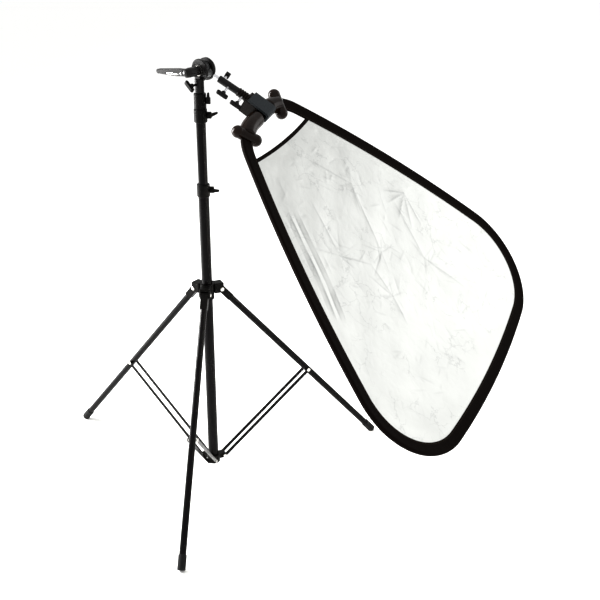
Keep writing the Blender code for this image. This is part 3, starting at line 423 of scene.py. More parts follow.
# Moulded ABS: near-black with a warm brown cast, cloudy, and a fine grain that blurs its shine.
abs_brown, tree, shader, place = start_material("moulded_abs_brown_black", Roughness=0.30)
shader.inputs["Specular IOR Level"].default_value = 0.14
cloud = add_node(tree, "ShaderNodeTexNoise", {"Scale": 70.0, "Detail": 5.0}, {"Vector": place})
mix = add_node(
    tree, "ShaderNodeMix", {"data_type": "RGBA", 6: linear(SLEEVE_BROWN), 7: linear(SLEEVE_WORN)}
)
tree.links.new(cloud.outputs["Fac"], mix.inputs[0])
tree.links.new(mix.outputs[2], shader.inputs["Base Color"])
grain = add_node(tree, "ShaderNodeTexNoise", {"Scale": 1000.0 / GRAIN_MM}, {"Vector": place})
bump = add_node(
    tree, "ShaderNodeBump", {"Strength": 0.25, "Distance": 0.0003}, {"Height": grain.outputs["Fac"]}
)
tree.links.new(bump.outputs["Normal"], shader.inputs["Normal"])
dress(["arm_sleeve", "clamp_body"], abs_brown)


# ---- clamp pad ----------------------------------------------------------------------------------
# The clamp's front jaw is faced with a blue-grey rubber pad, moulded with a fine leather grain, that
# curls over the far side of the grip.
PAD_GREY = "#22272a"
PAD_PALE = "#2e3235"

# Pad rubber: a dull blue-grey with a leather grain, plainly paler than the black round it.
pad, tree, shader, place = start_material("moulded_rubber_pad", Roughness=0.62)
shader.inputs["Specular IOR Level"].default_value = 0.20
leather = add_node(
    tree, "ShaderNodeTexVoronoi", {"Scale": 420.0, "feature": "SMOOTH_F1"}, {"Vector": place}
)
mix = add_node(tree, "ShaderNodeMix", {"data_type": "RGBA", 6: linear(PAD_PALE), 7: linear(PAD_GREY)})
tree.links.new(leather.outputs["Distance"], mix.inputs[0])
tree.links.new(mix.outputs[2], shader.inputs["Base Color"])
bump = add_node(
    tree, "ShaderNodeBump", {"Strength": 0.3, "Distance": 0.0004}, {"Height": leather.outputs["Distance"]}
)
tree.links.new(bump.outputs["Normal"], shader.inputs["Normal"])
dress(["clamp_jaw"], pad)


# ---- panel cloth --------------------------------------------------------------------------------
# Two layers of thin woven polyester stretched in the hoop: the near one is foil-coated silver, the
# far one plain white. The panel is stored twisted and folded, so both carry the same sharp creases.
# It is drawn in its own measures: x across, y down from the middle of the grip, out square to both.
PANEL_ORIGIN = np.array((-0.04915, 0.04753, 0.91038))
PANEL_ACROSS = np.array((-0.30226, -0.93422, -0.18940))
PANEL_DOWN = np.array((0.67664, -0.07032, -0.73295))
CORNER_R = 0.1020               # the hoop line: two grip corners, two sides, two far corners, far edge
CORNER_X = 0.0370
FAR_CORNER_R = 0.1641
FAR_CORNER_X = 0.2353
FAR_CORNER_Y = 0.6196
FAR_EDGE_R = 2.2758
SIDE_R = 2.9138
LOOP_STEP = 0.004
CLOTH_OFFSET = 0.0030           # the cut edge lies this far outside the hoop line
TAPE_Y = 0.0725
TAPE_SLOPE = -0.085
TAPE_BOW = 0.008                # the cut edge's middle lies this far inside its chord
TAPE_REACH = 0.136
TOP_POINTS = 40
PANEL_MIDDLE = np.array((0.0, 0.400))
LAYER_OUT = 0.00045             # each cloth's distance from the hoop's plane
CLOTH_THICK = 0.0003
SILVER_GRID = (190, 460)
WHITE_GRID = (110, 360)
# The darker cloth colours serve twice: as random cloudy tone and as painted shade along the creases.
SILVER_PALE = "#c2c3c0"
SILVER_TONE_AND_CREASE_SHADE = "#7f8180"
WHITE_CLOTH = "#eceae4"
WHITE_TONE_AND_CREASE_SHADE = "#d5d2ca"
SILVER_MARK = 0.55              # how strongly a crease shows
WHITE_MARK = 0.5
MM = 0.001
FADE_FROM = 0.018               # creases fade to nothing between these distances from the cut edge
FADE_OVER = 0.035
CREASE_SEED = 11
SHORT_CREASES = 260
# The hair-fine creases exist only as painted shade: thin dark lines in the cloth's colour.
NET_MM = 55.0                   # mesh of the hair-fine creases
NET_BEND = (0.16, 0.16, 0.16)   # how far the clouds pull that net out of shape, in metres
THREAD_MM = 2.4                 # real threads are 0.2 mm apart; drawn coarser so that they show
WAVE_SCALE = 2.0 / 6.28         # a wave texture of this scale repeats about once a metre

panel_x, panel_y, panel_z = axes(np.cross(PANEL_ACROSS, PANEL_DOWN), PANEL_ACROSS)


def to_row(x, y, out):
    """Panel measures to the row frame: origin + x across + y down + out along the silver face."""
    x, y, out = np.broadcast_arrays(x, y, out)
    return PANEL_ORIGIN + x[..., None] * panel_x + y[..., None] * panel_y + out[..., None] * panel_z


def hoop_loop(step):
    """Closed hoop line: corner, side, far-corner and far-edge arcs, each tangent to the next."""
    near = np.array((CORNER_X, CORNER_R))
    far = np.array((FAR_CORNER_X, FAR_CORNER_Y))
    length = np.hypot(*(far - near))
    unit = (far - near) / length
    reach_1 = SIDE_R - CORNER_R
    reach_2 = SIDE_R - FAR_CORNER_R
    along = (length ** 2 + reach_1 ** 2 - reach_2 ** 2) / (2.0 * length)
    off = math.sqrt(reach_1 ** 2 - along ** 2)
    side = near + unit * along + np.array((-unit[1], unit[0])) * off
    turn_1 = math.atan2(*(near - side)[::-1])
    turn_2 = math.atan2(*(far - side)[::-1])
    edge_y = FAR_CORNER_Y - math.sqrt((FAR_EDGE_R - FAR_CORNER_R) ** 2 - FAR_CORNER_X ** 2)
    turn_3 = math.atan2(FAR_CORNER_Y - edge_y, FAR_CORNER_X)
    arcs = ((near, CORNER_R, -math.pi / 2.0, turn_1), (side, SIDE_R, turn_1, turn_2))
    arcs += ((far, FAR_CORNER_R, turn_2, turn_3), ((0.0, edge_y), FAR_EDGE_R, turn_3, math.pi / 2.0))
    line = [np.array(((0.0, 0.0),))]
    for centre, radius, start, stop in arcs:
        count = max(3, int(abs(stop - start) * radius / step) + 2)
        turn = np.linspace(start, stop, count)[1:]
        line.append(np.array(centre) + radius * np.stack((np.cos(turn), np.sin(turn)), axis=1))
    half = np.concatenate(line)
    return np.concatenate((half, half[-2:0:-1] * (-1.0, 1.0)))


def outward(path, closed):
    """Unit vectors square to the path: its chord through each point's neighbours, turned right."""
    before = np.roll(path, 1, axis=0)
    after = np.roll(path, -1, axis=0)
    if not closed:
        before[0] = path[0]
        after[-1] = path[-1]
    chord = after - before
    chord = chord / np.hypot(chord[:, 0], chord[:, 1])[:, None]
    return np.stack((chord[:, 1], -chord[:, 0]), axis=1)


def even_points(path, count):
    """The closed path resampled at equal lengths along it."""
    line = np.concatenate((path, path[:1]))
    length = np.concatenate(((0.0,), np.cumsum(np.hypot(*np.diff(line, axis=0).T))))
    wanted = np.linspace(0.0, length[-1], count, endpoint=False)
    return np.stack([np.interp(wanted, length, line[:, k]) for k in (0, 1)], axis=1)


def top_edge(x):
    """The cloth's top edge: a sloping chord plus a parabola that is bow deep in the middle."""
    return TAPE_Y + TAPE_SLOPE * x + TAPE_BOW * (1.0 - (x / TAPE_REACH) ** 2)


def cloth_outline(count):
    """Cut edge: the hoop line moved out by the offset, and cut off along the top edge's line."""
    loop = hoop_loop(LOOP_STEP)
    edge = loop + outward(loop, True) * CLOTH_OFFSET
    level = edge[:, 1] - top_edge(edge[:, 0])
    inside = level > 0.0
    first = int(np.argmax(inside))
    last = len(inside) - 1 - int(np.argmax(inside[::-1]))
    ends = []
    for a, b in ((first - 1, first), (last + 1, last)):
        share = level[a] / (level[a] - level[b])
        ends.append(edge[a] + (edge[b] - edge[a]) * share)
    top_x = np.linspace(ends[1][0], ends[0][0], TOP_POINTS)[1:-1]
    top = np.stack((top_x, top_edge(top_x)), axis=1)
    return even_points(np.concatenate((ends[:1], edge[first:last + 1], ends[1:], top)), count)


def crease_lines():
    """Creases as rows (x1, y1, x2, y2, height, width): the main folds, then seeded short ones."""
    lines = []
    for shift, tall in ((0.0, 1.7), (0.012, -1.3), (0.024, 0.9), (-0.011, -1.0)):
        knots = ((0.158, 0.190), (0.196, 0.262), (0.238, 0.342), (0.282, 0.412))
        for (x1, y1), (x2, y2) in zip(knots, knots[1:]):
            down = shift * 0.6
            lines.append((x1 - shift, y1 + down, x2 - shift, y2 + down, tall * 0.8 * MM, 5 * MM))
    for x, y in ((-0.150, 0.355), (-0.138, 0.398), (-0.150, 0.438), (-0.188, 0.452), (-0.170, 0.330)):
        lines.append((-0.222, 0.372, x, y, 1.1 * MM, 6 * MM))
    long_lines = ((-0.086, 0.257), (0.004, 0.410)), ((-0.168, 0.368), (-0.105, 0.505))
    long_lines += ((-0.105, 0.505), (-0.149, 0.628)), ((0.064, 0.406), (0.083, 0.490))
    long_lines += ((0.083, 0.490), (0.114, 0.552)), ((0.126, 0.336), (0.064, 0.406))
    long_lines += ((-0.086, 0.257), (-0.030, 0.150)), ((0.126, 0.336), (0.070, 0.210))
    for (x1, y1), (x2, y2) in long_lines:
        lines.append((x1, y1, x2, y2, 0.8 * MM, 6 * MM))
    pick = np.random.default_rng(CREASE_SEED)
    for hub_x, hub_y in ((-0.086, 0.257), (0.126, 0.336), (0.004, 0.410), (-0.105, 0.505), (0.083, 0.490)):
        turns = pick.uniform(0.0, 2.0 * np.pi, 8)
        reaches = pick.uniform(0.03, 0.09, 8)
        talls = pick.uniform(-1.0, 1.0, 8)
        for turn, reach, tall in zip(turns, reaches, talls):
            end = (hub_x + reach * math.cos(turn), hub_y + reach * math.sin(turn))
            lines.append((hub_x, hub_y, *end, tall * 0.7 * MM, 5 * MM))
    x = pick.uniform(-0.28, 0.28, SHORT_CREASES)
    y = pick.uniform(0.10, 0.70, SHORT_CREASES)
    turn = pick.uniform(0.0, np.pi, SHORT_CREASES)
    reach = pick.uniform(0.015, 0.055, SHORT_CREASES)
    tall = pick.uniform(-0.55, 0.55, SHORT_CREASES)
    ends = (x + reach * np.cos(turn), y + reach * np.sin(turn))
    short = np.stack((x, y, *ends, tall * MM, np.full(SHORT_CREASES, 4 * MM)), axis=1)
    return np.concatenate((np.array(lines), short))


def crease_field(x, y, from_edge):
    """Height of the cloth: each crease adds tall * exp(-distance / width), faded at its ends; long
    waves are added, and all of it fades to nothing at the edge. Also gives the painted shade along
    the creases: how much each point is darkened."""
    height = np.zeros_like(x)
    crease_shade = np.zeros_like(x)
    for x1, y1, x2, y2, tall, width in crease_lines():
        run = math.hypot(x2 - x1, y2 - y1)
        ax, ay = (x2 - x1) / run, (y2 - y1) / run
        along = np.clip((x - x1) * ax + (y - y1) * ay, 0.0, run)
        gap = np.hypot(x - x1 - along * ax, y - y1 - along * ay)
        ends = 0.25 + 0.75 * np.sin(np.pi * along / run)
        height += tall * ends * np.exp(-gap / width)
        # painted shade: a narrow dark line along each crease, kept in the colour rather than the shape
        crease_shade += abs(tall) / 0.0012 * ends * np.exp(-(gap / 0.0020) ** 2)
    height += 0.0009 * np.sin(x * 23.0 + 1.7 * np.sin(y * 9.0)) * np.sin(y * 14.0 + 0.6)
    height += 0.0005 * np.sin(x * 47.0 - y * 31.0 + 1.1) * np.sin(y * 37.0 + x * 12.0)
    fade = np.clip((from_edge - FADE_FROM) / FADE_OVER, 0.0, 1.0)
    fade = fade * fade * (3.0 - 2.0 * fade)
    return height * fade, np.clip(crease_shade * fade, 0.0, 1.0)


def cloth_sheet(name, grid, out, material, flip):
    """Polar sheet: point = middle + share * (cut edge - middle), raised by the crease field."""
    rings, count = grid
    edge = cloth_outline(count)
    arm = edge - PANEL_MIDDLE
    sideways = np.abs(np.sum(arm * outward(edge, True), axis=1))
    shares = np.linspace(1.0, 1.0 / rings, rings)
    flat = PANEL_MIDDLE + shares[:, None, None] * arm[None]
    from_edge = (1.0 - shares)[:, None] * sideways[None]
    height, crease_shade = crease_field(flat[..., 0], flat[..., 1], from_edge)
    centre = height[-1].mean()
    points = to_row(flat[..., 0], flat[..., 1], height + out).reshape(-1, 3)
    pole = to_row(*PANEL_MIDDLE, centre + out)
    r, c = np.meshgrid(np.arange(rings - 1), np.arange(count), indexing="ij")
    c2 = (c + 1) % count
    quads = np.stack((r * count + c, r * count + c2, (r + 1) * count + c2, (r + 1) * count + c), axis=-1)
    last = (rings - 1) * count
    ring = np.arange(count)
    fan = np.stack((last + ring, last + (ring + 1) % count, np.full(count, rings * count)), axis=-1)
    faces = quads.reshape(-1, 4).tolist() + fan.tolist()
    if flip:
        faces = [face[::-1] for face in faces]
    mesh = bpy.data.meshes.new(name)
    mesh.from_pydata(np.vstack((points, pole)), [], faces)
    # The painted crease shade rides on the mesh as a point attribute.
    crease_shade_layer = mesh.attributes.new("crease_shade", "FLOAT", "POINT")
    crease_shade_layer.data.foreach_set("value", np.append(crease_shade.reshape(-1), 0.0))
    mesh.materials.append(material)
    mesh.shade_smooth()
    piece = bpy.data.objects.new(name, mesh)
    bpy.context.scene.collection.objects.link(piece)
    thick = piece.modifiers.new("cloth_thickness", "SOLIDIFY")
    thick.thickness = CLOTH_THICK
    thick.offset = -1.0
    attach(piece, "reflector")
    return piece


def woven_material(name, pale, dark, mark, **sockets):
    """Plain-weave cloth: a faint thread ripple in its shine, a cloudy pale colour, painted shade as
    darker lines along the creases, and a patchy net of painted shade lines for hair-fine creases
    between them."""
    material, tree, shader, place = start_material(name, **sockets)
    cloud = add_node(
        tree, "ShaderNodeTexNoise", {"Scale": 9.0, "Detail": 5.0, "Roughness": 0.6}, {"Vector": place}
    )
    even = add_node(
        tree, "ShaderNodeMapRange", {1: 0.35, 2: 0.75, 3: 0.0, 4: 0.14}, {0: cloud.outputs["Fac"]}
    )
    base = add_node(tree, "ShaderNodeMix", {"data_type": "RGBA", 6: linear(pale), 7: linear(dark)})
    tree.links.new(even.outputs[0], base.inputs[0])
    # Painted shade: the cloth is darkened along the creases, read from the mesh.
    crease_shade_layer = add_node(tree, "ShaderNodeAttribute", {"attribute_name": "crease_shade"})
    share = add_node(tree, "ShaderNodeMath", {"operation": "MULTIPLY", 1: mark}, {0: crease_shade_layer.outputs["Fac"]})
    mixed = add_node(tree, "ShaderNodeMix", {"data_type": "RGBA", 7: linear(dark)}, {6: base.outputs[2]})
    tree.links.new(share.outputs[0], mixed.inputs[0])
    bent = add_node(tree, "ShaderNodeVectorMath", {"operation": "MULTIPLY_ADD", 1: NET_BEND})
    tree.links.new(cloud.outputs["Color"], bent.inputs[0])
    tree.links.new(place, bent.inputs[2])
    # Painted shade: thin dark lines along the edges of a bent net, shown in patches, stand in for hair-fine
    # creases.
    net = add_node(
        tree, "ShaderNodeTexVoronoi", {"Scale": 1000.0 / NET_MM, "feature": "DISTANCE_TO_EDGE"}
    )
    tree.links.new(bent.outputs[0], net.inputs["Vector"])
    net_shade = add_node(
        tree, "ShaderNodeMapRange", {1: 0.0, 2: 0.035, 3: 0.30, 4: 0.0}, {0: net.outputs["Distance"]}
    )
    patch = add_node(tree, "ShaderNodeTexNoise", {"Scale": 14.0, "Detail": 3.0}, {"Vector": place})
    shown = add_node(
        tree, "ShaderNodeMapRange", {1: 0.48, 2: 0.60, 3: 0.0, 4: 1.0}, {0: patch.outputs["Fac"]}
    )
    shown_net_shade = add_node(
        tree, "ShaderNodeMath", {"operation": "MULTIPLY"}, {0: net_shade.outputs[0], 1: shown.outputs[0]}
    )
    lined = add_node(tree, "ShaderNodeMix", {"data_type": "RGBA", 7: linear(dark)}, {6: mixed.outputs[2]})
    tree.links.new(shown_net_shade.outputs[0], lined.inputs[0])
    tree.links.new(lined.outputs[2], shader.inputs["Base Color"])
    warp = add_node(
        tree, "ShaderNodeTexWave", {"Scale": 1000.0 / THREAD_MM * WAVE_SCALE, "Distortion": 0.6}
    )
    tree.links.new(place, warp.inputs["Vector"])
    crumple = add_node(
        tree, "ShaderNodeTexVoronoi", {"Scale": 42.0, "feature": "DISTANCE_TO_EDGE"}, {"Vector": place}
    )
    low = add_node(
        tree, "ShaderNodeBump", {"Strength": 0.10, "Distance": 0.004},
        {"Height": crumple.outputs["Distance"]}
    )
    bump = add_node(
        tree, "ShaderNodeBump", {"Strength": 0.05, "Distance": 0.0002}, {"Height": warp.outputs["Fac"]}
    )
    tree.links.new(low.outputs["Normal"], bump.inputs["Normal"])
    tree.links.new(bump.outputs["Normal"], shader.inputs["Normal"])
    return material


# Foil-coated cloth: a soft metallic silver that mirrors the light broadly. White cloth: flat and warm.
silver_cloth = woven_material(
    "foil_coated_polyester", SILVER_PALE, SILVER_TONE_AND_CREASE_SHADE, SILVER_MARK, Metallic=0.55, Roughness=0.40
)
white_cloth = woven_material("white_polyester", WHITE_CLOTH, WHITE_TONE_AND_CREASE_SHADE, WHITE_MARK, Roughness=0.82)
white_cloth.node_tree.nodes["Principled BSDF"].inputs["Sheen Weight"].default_value = 0.10
silver = cloth_sheet("silver_cloth", SILVER_GRID, LAYER_OUT, silver_cloth, True)
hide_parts("fabric_silver")
white = cloth_sheet("white_cloth", WHITE_GRID, -LAYER_OUT, white_cloth, False)
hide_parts("fabric_white")
cut_edge = cloth_outline(SILVER_GRID[1])


# ---- handle -------------------------------------------------------------------------------------
# One ABS moulding closed round the hoop: a fat curved grip, waisted where the clamp bites, between
# two cross-set hand guards with ball ends. It is polished by hands, so it shines more than the clamp.
GRIP_R = 0.0115
GRIP_SWELL = 0.0075
GRIP_TURN = math.radians(26.8)
CLAMPED = (-0.0370, 0.0060)
GUARD_AXIS = (0.532, 0.846)
GUARD_BALL_R = 0.0140
GUARD_SPACING = 0.0240
GUARD_WAIST_R = 0.0135
SWELL_OVER = 0.010              # the grip reaches its full thickness this far from the clamp
CLOSE_OVER = 0.004              # and rounds off to nothing over this length at each end
GRIP_GRID = (120, 40)
GUARD_GRID = (48, 32)
GRIP_DARK = "#0a0604"
GRIP_WORN = "#23160e"

# Hand-polished ABS: a glossy brown-black with cloudy worn patches of lower shine.
grip_abs, tree, shader, place = start_material("hand_polished_abs", Roughness=0.20)
shader.inputs["Specular IOR Level"].default_value = 0.16
cloud = add_node(tree, "ShaderNodeTexNoise", {"Scale": 40.0, "Detail": 5.0}, {"Vector": place})
mix = add_node(tree, "ShaderNodeMix", {"data_type": "RGBA", 6: linear(GRIP_DARK), 7: linear(GRIP_WORN)})
tree.links.new(cloud.outputs["Fac"], mix.inputs[0])
tree.links.new(mix.outputs[2], shader.inputs["Base Color"])
spread = add_node(
    tree, "ShaderNodeMapRange", {1: 0.3, 2: 0.7, 3: 0.14, 4: 0.32}, {0: cloud.outputs["Fac"]}
)
tree.links.new(spread.outputs[0], shader.inputs["Roughness"])


def fat_grip(rows, columns):
    """Round section carried along the hoop's straight and both corner arcs. Its radius is the waist
    plus the swell times t * t * (3 - 2 t), t rising from 0 to 1 past each end of the clamped part, and
    it closes at both ends as a quarter circle."""
    half = CORNER_X + CORNER_R * GRIP_TURN
    s = np.linspace(-half, half, rows)
    turn = np.maximum(np.abs(s) - CORNER_X, 0.0) / CORNER_R
    x = np.sign(s) * (np.minimum(np.abs(s), CORNER_X) + CORNER_R * np.sin(turn))
    y = CORNER_R * (1.0 - np.cos(turn))
    lean = np.sign(s) * turn
    past = np.clip(np.maximum(s - CLAMPED[1], CLAMPED[0] - s) / SWELL_OVER, 0.0, 1.0)
    radius = GRIP_R + GRIP_SWELL * past * past * (3.0 - 2.0 * past)
    closing = ((np.abs(s) - half + CLOSE_OVER) / CLOSE_OVER).clip(0.0, 1.0)
    radius = radius * np.sqrt(np.clip(1.0 - closing ** 2, 0.0, 1.0))
    around = np.linspace(0.0, 2.0 * np.pi, columns, endpoint=False)
    side = np.cos(around)[None] * radius[:, None]
    out = np.sin(around)[None] * radius[:, None]
    return to_row(x[:, None] + side * np.sin(lean)[:, None], y[:, None] - side * np.cos(lean)[:, None], out)


def hand_guard(sign, rows, columns):
    """Dumbbell turned about its axis: two balls joined by a waist, radius = the larger of the two."""
    reach = GUARD_SPACING + GUARD_BALL_R
    z = reach * np.sin(np.linspace(-np.pi / 2.0, np.pi / 2.0, rows))
    ball = np.sqrt(np.clip(GUARD_BALL_R ** 2 - (np.abs(z) - GUARD_SPACING) ** 2, 0.0, None))
    radius = np.where(np.abs(z) < GUARD_SPACING, np.maximum(ball, GUARD_WAIST_R), ball)
    around = np.linspace(0.0, 2.0 * np.pi, columns, endpoint=False)
    x_mid = sign * (CORNER_X + CORNER_R * math.sin(GRIP_TURN))
    y_mid = CORNER_R * (1.0 - math.cos(GRIP_TURN))
    across = radius[:, None] * np.cos(around)[None]
    x = x_mid - sign * GUARD_AXIS[0] * z[:, None] + GUARD_AXIS[1] * across
    y = y_mid + GUARD_AXIS[1] * z[:, None] + sign * GUARD_AXIS[0] * across
    return to_row(x, y, radius[:, None] * np.sin(around)[None] * sign)


grip = grid_piece("moulded_grip", fat_grip(*GRIP_GRID), grip_abs, "reflector")
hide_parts("handle")
for sign, guard_name in ((1.0, "hand_guard_near"), (-1.0, "hand_guard_far")):
    guard = grid_piece(guard_name, hand_guard(sign, *GUARD_GRID), grip_abs, "reflector")


# ---- edge binding -------------------------------------------------------------------------------
# A 30 mm grosgrain ribbon folded over the hoop and both cloths and sewn through close to its inner
# edge. The hoop fills its outer part; the ribbon puckers a little between the stitches.
BINDING_DARK = "#0b0604"
BINDING_RIB = "#1f1712"
THREAD_COLOUR = "#2c241e"
EXIT_ANGLE = 36.0               # the hoop leaves the handle at this turn of each grip corner
EXIT_GAP = 0.004
STITCH_MM = 9.0                 # real stitches are 3 mm; drawn longer so that they show
RIB_MM = 3.0                    # real ribs are 1 mm; drawn wider so that they show
RIBBON_STEP = 0.005
PUCKER_SHORT = 0.021            # lengths of the two waves in which the ribbon puckers
PUCKER_LONG = 0.058
# The section in mm, out from the hoop line and off the panel's plane: the ribbon's skin and lining.
SKIN = ((-15.0, 1.15), (-14.7, 1.75), (-12.0, 1.95), (-8.0, 2.10), (-4.0, 2.60), (1.0, 3.50), (6.0, 4.60))
SKIN += ((9.0, 5.25), (11.5, 5.35), (13.6, 4.60), (14.7, 2.90), (15.0, 1.20), (15.05, 0.0))
LINING = ((13.9, 0.0), (13.9, 2.00), (13.2, 3.60), (10.5, 4.10), (5.5, 2.70), (-4.0, 1.20), (-14.6, 1.05))


def between_exits(path, angle):
    """The part of the loop outside the handle, cut at one angle on both corner arcs."""
    turn = math.radians(angle)
    rise = CORNER_R * (1.0 - math.cos(turn))
    reach = CORNER_X + CORNER_R * math.sin(turn)
    kept = path[path[:, 1] > rise + EXIT_GAP]
    return np.concatenate((((reach, rise),), kept, ((-reach, rise),)))


# Grosgrain ribbon: a dead matt brown-black with fine crosswise ribs and a row of paler stitches.
ribbon, tree, shader, place = start_material("grosgrain_ribbon", Roughness=0.78)
shader.inputs["Specular IOR Level"].default_value = 0.05
surface = add_node(tree, "ShaderNodeUVMap", {"uv_map": "surface"})
parts = add_node(tree, "ShaderNodeSeparateXYZ", links={0: surface.outputs["UV"]})
ribs = add_node(tree, "ShaderNodeMath", {"operation": "MULTIPLY", 1: 2.0 * math.pi / (RIB_MM / 1000.0)})
tree.links.new(parts.outputs["X"], ribs.inputs[0])
wave = add_node(tree, "ShaderNodeMath", {"operation": "SINE"}, {0: ribs.outputs[0]})
rib_share = add_node(tree, "ShaderNodeMapRange", {1: -1.0, 2: 1.0, 3: 0.0, 4: 0.55}, {0: wave.outputs[0]})
cloud = add_node(tree, "ShaderNodeTexNoise", {"Scale": 120.0, "Detail": 4.0}, {"Vector": place})
rough_rib = add_node(
    tree, "ShaderNodeMath", {"operation": "MULTIPLY"}, {0: rib_share.outputs[0], 1: cloud.outputs["Fac"]}
)
base = add_node(
    tree, "ShaderNodeMix", {"data_type": "RGBA", 6: linear(BINDING_DARK), 7: linear(BINDING_RIB)}
)
tree.links.new(rough_rib.outputs[0], base.inputs[0])
dash = add_node(
    tree, "ShaderNodeMath", {"operation": "MULTIPLY", 1: 1000.0 / STITCH_MM}, {0: parts.outputs["X"]}
)
dash_part = add_node(tree, "ShaderNodeMath", {"operation": "FRACT"}, {0: dash.outputs[0]})
dash_on = add_node(tree, "ShaderNodeMath", {"operation": "LESS_THAN", 1: 0.66}, {0: dash_part.outputs[0]})
from_line = add_node(tree, "ShaderNodeMath", {"operation": "COMPARE", 1: -0.0115, 2: 0.0008})
tree.links.new(parts.outputs["Y"], from_line.inputs[0])
stitch = add_node(
    tree, "ShaderNodeMath", {"operation": "MULTIPLY"}, {0: dash_on.outputs[0], 1: from_line.outputs[0]}
)
mixed = add_node(
    tree, "ShaderNodeMix", {"data_type": "RGBA", 7: linear(THREAD_COLOUR)}, {6: base.outputs[2]}
)
tree.links.new(stitch.outputs[0], mixed.inputs[0])
tree.links.new(mixed.outputs[2], shader.inputs["Base Color"])
bump_1 = add_node(
    tree, "ShaderNodeBump", {"Strength": 0.35, "Distance": 0.0003}, {"Height": wave.outputs[0]}
)
bump_2 = add_node(
    tree, "ShaderNodeBump", {"Strength": 0.6, "Distance": 0.0005}, {"Height": stitch.outputs[0]}
)
tree.links.new(bump_1.outputs["Normal"], bump_2.inputs["Normal"])
tree.links.new(bump_2.outputs["Normal"], shader.inputs["Normal"])


def ribbon_piece(name, path, material):
    """Folded ribbon: a closed section of skin and lining carried along the hoop line. Off the plane, the
    skin is scaled by 1 + two sine waves, faded as exp(-(u + 4 mm)^2 / (9 mm)^2). Both ends are closed."""
    skin = np.array(SKIN) / 1000.0
    lining = np.array(LINING) / 1000.0
    section = np.concatenate((skin, skin[-2::-1] * (1.0, -1.0), lining[::-1] * (1.0, -1.0), lining[1:]))
    side = outward(path, False)
    length = np.concatenate(((0.0,), np.cumsum(np.hypot(*np.diff(path, axis=0).T))))
    pucker = 0.07 * np.sin(length * 2.0 * np.pi / PUCKER_SHORT)
    pucker += 0.04 * np.sin(length * 2.0 * np.pi / PUCKER_LONG)
    outer = np.arange(len(section)) < 2 * len(skin) - 1
    thin = np.exp(-((section[:, 0] + 0.004) / 0.009) ** 2)
    swell = 1.0 + pucker[:, None] * thin * outer
    u = np.broadcast_to(section[:, 0], swell.shape)
    v = section[:, 1] * swell
    x = path[:, None, 0] + u * side[:, None, 0]
    y = path[:, None, 1] + u * side[:, None, 1]
    points = to_row(x, y, v)
    ring = np.concatenate((section[:, 0], section[:1, 0]))
    piece = grid_piece(name, points, material, None, uv=(length, ring))
    count = len(section)
    mesh = piece.data
    ends = (list(range(count))[::-1], [len(path) * count - count + k for k in range(count)])
    verts = [v.co[:] for v in mesh.vertices]
    faces = [tuple(p.vertices) for p in mesh.polygons]
    layer = np.zeros(len(mesh.loops) * 2)
    mesh.uv_layers["surface"].data.foreach_get("uv", layer)
    mesh.clear_geometry()
    mesh.from_pydata(verts, [], faces + [tuple(end) for end in ends])
    mesh.shade_smooth()
    new_layer = mesh.uv_layers.new(name="surface")
    new_layer.data.foreach_set("uv", np.concatenate((layer, np.zeros(len(mesh.loops) * 2 - len(layer)))))
    mesh.set_sharp_from_angle(angle=math.radians(50.0))
    return piece


ribbon_path = between_exits(hoop_loop(RIBBON_STEP), EXIT_ANGLE)
binding = ribbon_piece("folded_ribbon", ribbon_path, ribbon)
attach(binding, "reflector")
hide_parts("edge_binding")


# ---- top tape -----------------------------------------------------------------------------------
# A narrow tape of the same black ribbon, folded over the cut top edge of both cloths and sewn, where
# the hand opening is. Its middle is pulled a little away from the grip by the cloth.
TAPE_WIDTH = 0.0060
TAPE_LAP = 0.0030
TAPE_HALF_THICK = 0.0013
TAPE_SHORT = 0.002              # the tape stops this far from the cloth's corners
TAPE_ROWS = 60
ON_EDGE = 0.0008                # points of the cut edge this near the top line belong to it

level = np.abs(cut_edge[:, 1] - top_edge(cut_edge[:, 0]))
along_top = cut_edge[level < ON_EDGE]
tape_x = np.linspace(along_top[:, 0].min() + TAPE_SHORT, along_top[:, 0].max() - TAPE_SHORT, TAPE_ROWS)
tape_line = np.stack((tape_x, top_edge(tape_x)), axis=1)
turns = np.linspace(0.0, 2.0 * np.pi, 20, endpoint=False)
half = (TAPE_WIDTH + TAPE_LAP) / 2.0
tape_u = TAPE_LAP - half + half * np.sign(np.cos(turns)) * np.abs(np.cos(turns)) ** 0.35
tape_v = TAPE_HALF_THICK * np.sign(np.sin(turns)) * np.abs(np.sin(turns)) ** 0.5
ripple = 1.0 + 0.12 * np.sin(np.arange(TAPE_ROWS) * 1.3)
tape_points = to_row(
    tape_line[:, None, 0],
    tape_line[:, None, 1] + tape_u[None],
    tape_v[None] * ripple[:, None],
)
tape_length = tape_x - tape_x[0]
tape_ring = np.concatenate((tape_u, tape_u[:1])) - 0.004
tape_uv = (tape_length, tape_ring)
tape = grid_piece("top_tape", tape_points[:, ::-1], ribbon, "reflector", uv=tape_uv)
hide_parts("fabric_top_tape")


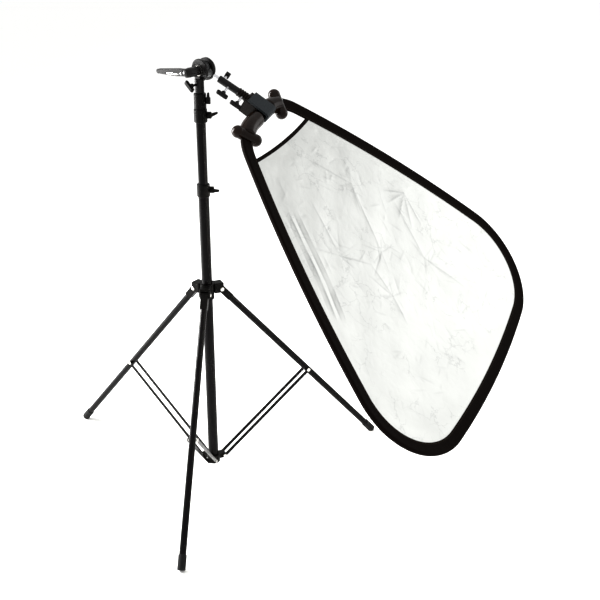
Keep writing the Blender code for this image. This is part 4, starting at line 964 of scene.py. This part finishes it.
# ---- floor, light and camera --------------------------------------------------------------------
# A plain near-white floor, one tall soft light from the left and behind, a faint one from above, and
# one to the right and behind that the silver cloth mirrors.
FLOOR_PALE = "#f6f6f5"
SKY_STRENGTH = 1.08
LENS_MM = 75.21
SENSOR_MM = 36.0
floor_mesh = bpy.data.meshes.new("floor")
floor_mesh.from_pydata([(-30, -30, 0), (30, -30, 0), (30, 40, 0), (-30, 40, 0)], [], [(0, 1, 2, 3)])
floor = bpy.data.objects.new("floor", floor_mesh)
bpy.context.scene.collection.objects.link(floor)
floor_paint, tree, shader, place = start_material("matt_white_floor", Roughness=0.9)
shader.inputs["Base Color"].default_value = linear(FLOOR_PALE)
shader.inputs["Specular IOR Level"].default_value = 0.1
floor_mesh.materials.append(floor_paint)

world = bpy.data.worlds.new("studio")
bpy.context.scene.world = world
world.use_nodes = True
world.node_tree.nodes["Background"].inputs["Color"].default_value = (1.0, 1.0, 1.0, 1.0)
world.node_tree.nodes["Background"].inputs["Strength"].default_value = SKY_STRENGTH


def softbox(name, place, aim, size, power):
    """Rectangular soft light at a place, turned to face a point."""
    light = bpy.data.lights.new(name, "AREA")
    light.shape = "RECTANGLE"
    light.size, light.size_y = size
    light.energy = power
    lamp = bpy.data.objects.new(name, light)
    bpy.context.scene.collection.objects.link(lamp)
    away = np.array(place) - np.array(aim)
    turn = Matrix(axes(away, (-away[1], away[0], 0.0)).T.tolist()).to_4x4()
    lamp.matrix_world = Matrix.Translation(place) @ turn


softbox("left_strip", (-2.4, 0.5, 1.25), (-0.1, 0.0, 0.65), (0.4, 1.9), 230.0)
softbox("top_softbox", (0.2, -0.6, 3.4), (0.1, 0.0, 0.0), (2.6, 2.6), 8.0)
softbox("mirror_softbox", (2.35, 1.35, 1.28), (0.30, 0.02, 0.50), (2.2, 1.4), 17.0)

camera_data = bpy.data.cameras.new("camera")
camera_data.lens = LENS_MM
camera_data.sensor_width = SENSOR_MM
camera = bpy.data.objects.new("camera", camera_data)
bpy.context.scene.collection.objects.link(camera)
# The camera's own axes: where it looks, and its level right and up, turned by a slight roll.
look = np.array((-0.09196, 0.91359, -0.39612))
level_right = np.array((0.99497, 0.10015, 0.0))
level_up = np.array((-0.03967, 0.39413, 0.91820))
ROLL = (0.99998, -0.00646)
right = ROLL[0] * level_right + ROLL[1] * level_up
up = -ROLL[1] * level_right + ROLL[0] * level_up
eye = (0.30859, -2.63474, 1.634)
camera.matrix_world = Matrix.Translation(eye) @ Matrix(np.array((right, up, -look)).T.tolist()).to_4x4()
bpy.context.scene.camera = camera
bpy.context.scene.view_settings.view_transform = "Standard"
bpy.context.scene.view_settings.gamma = 0.80
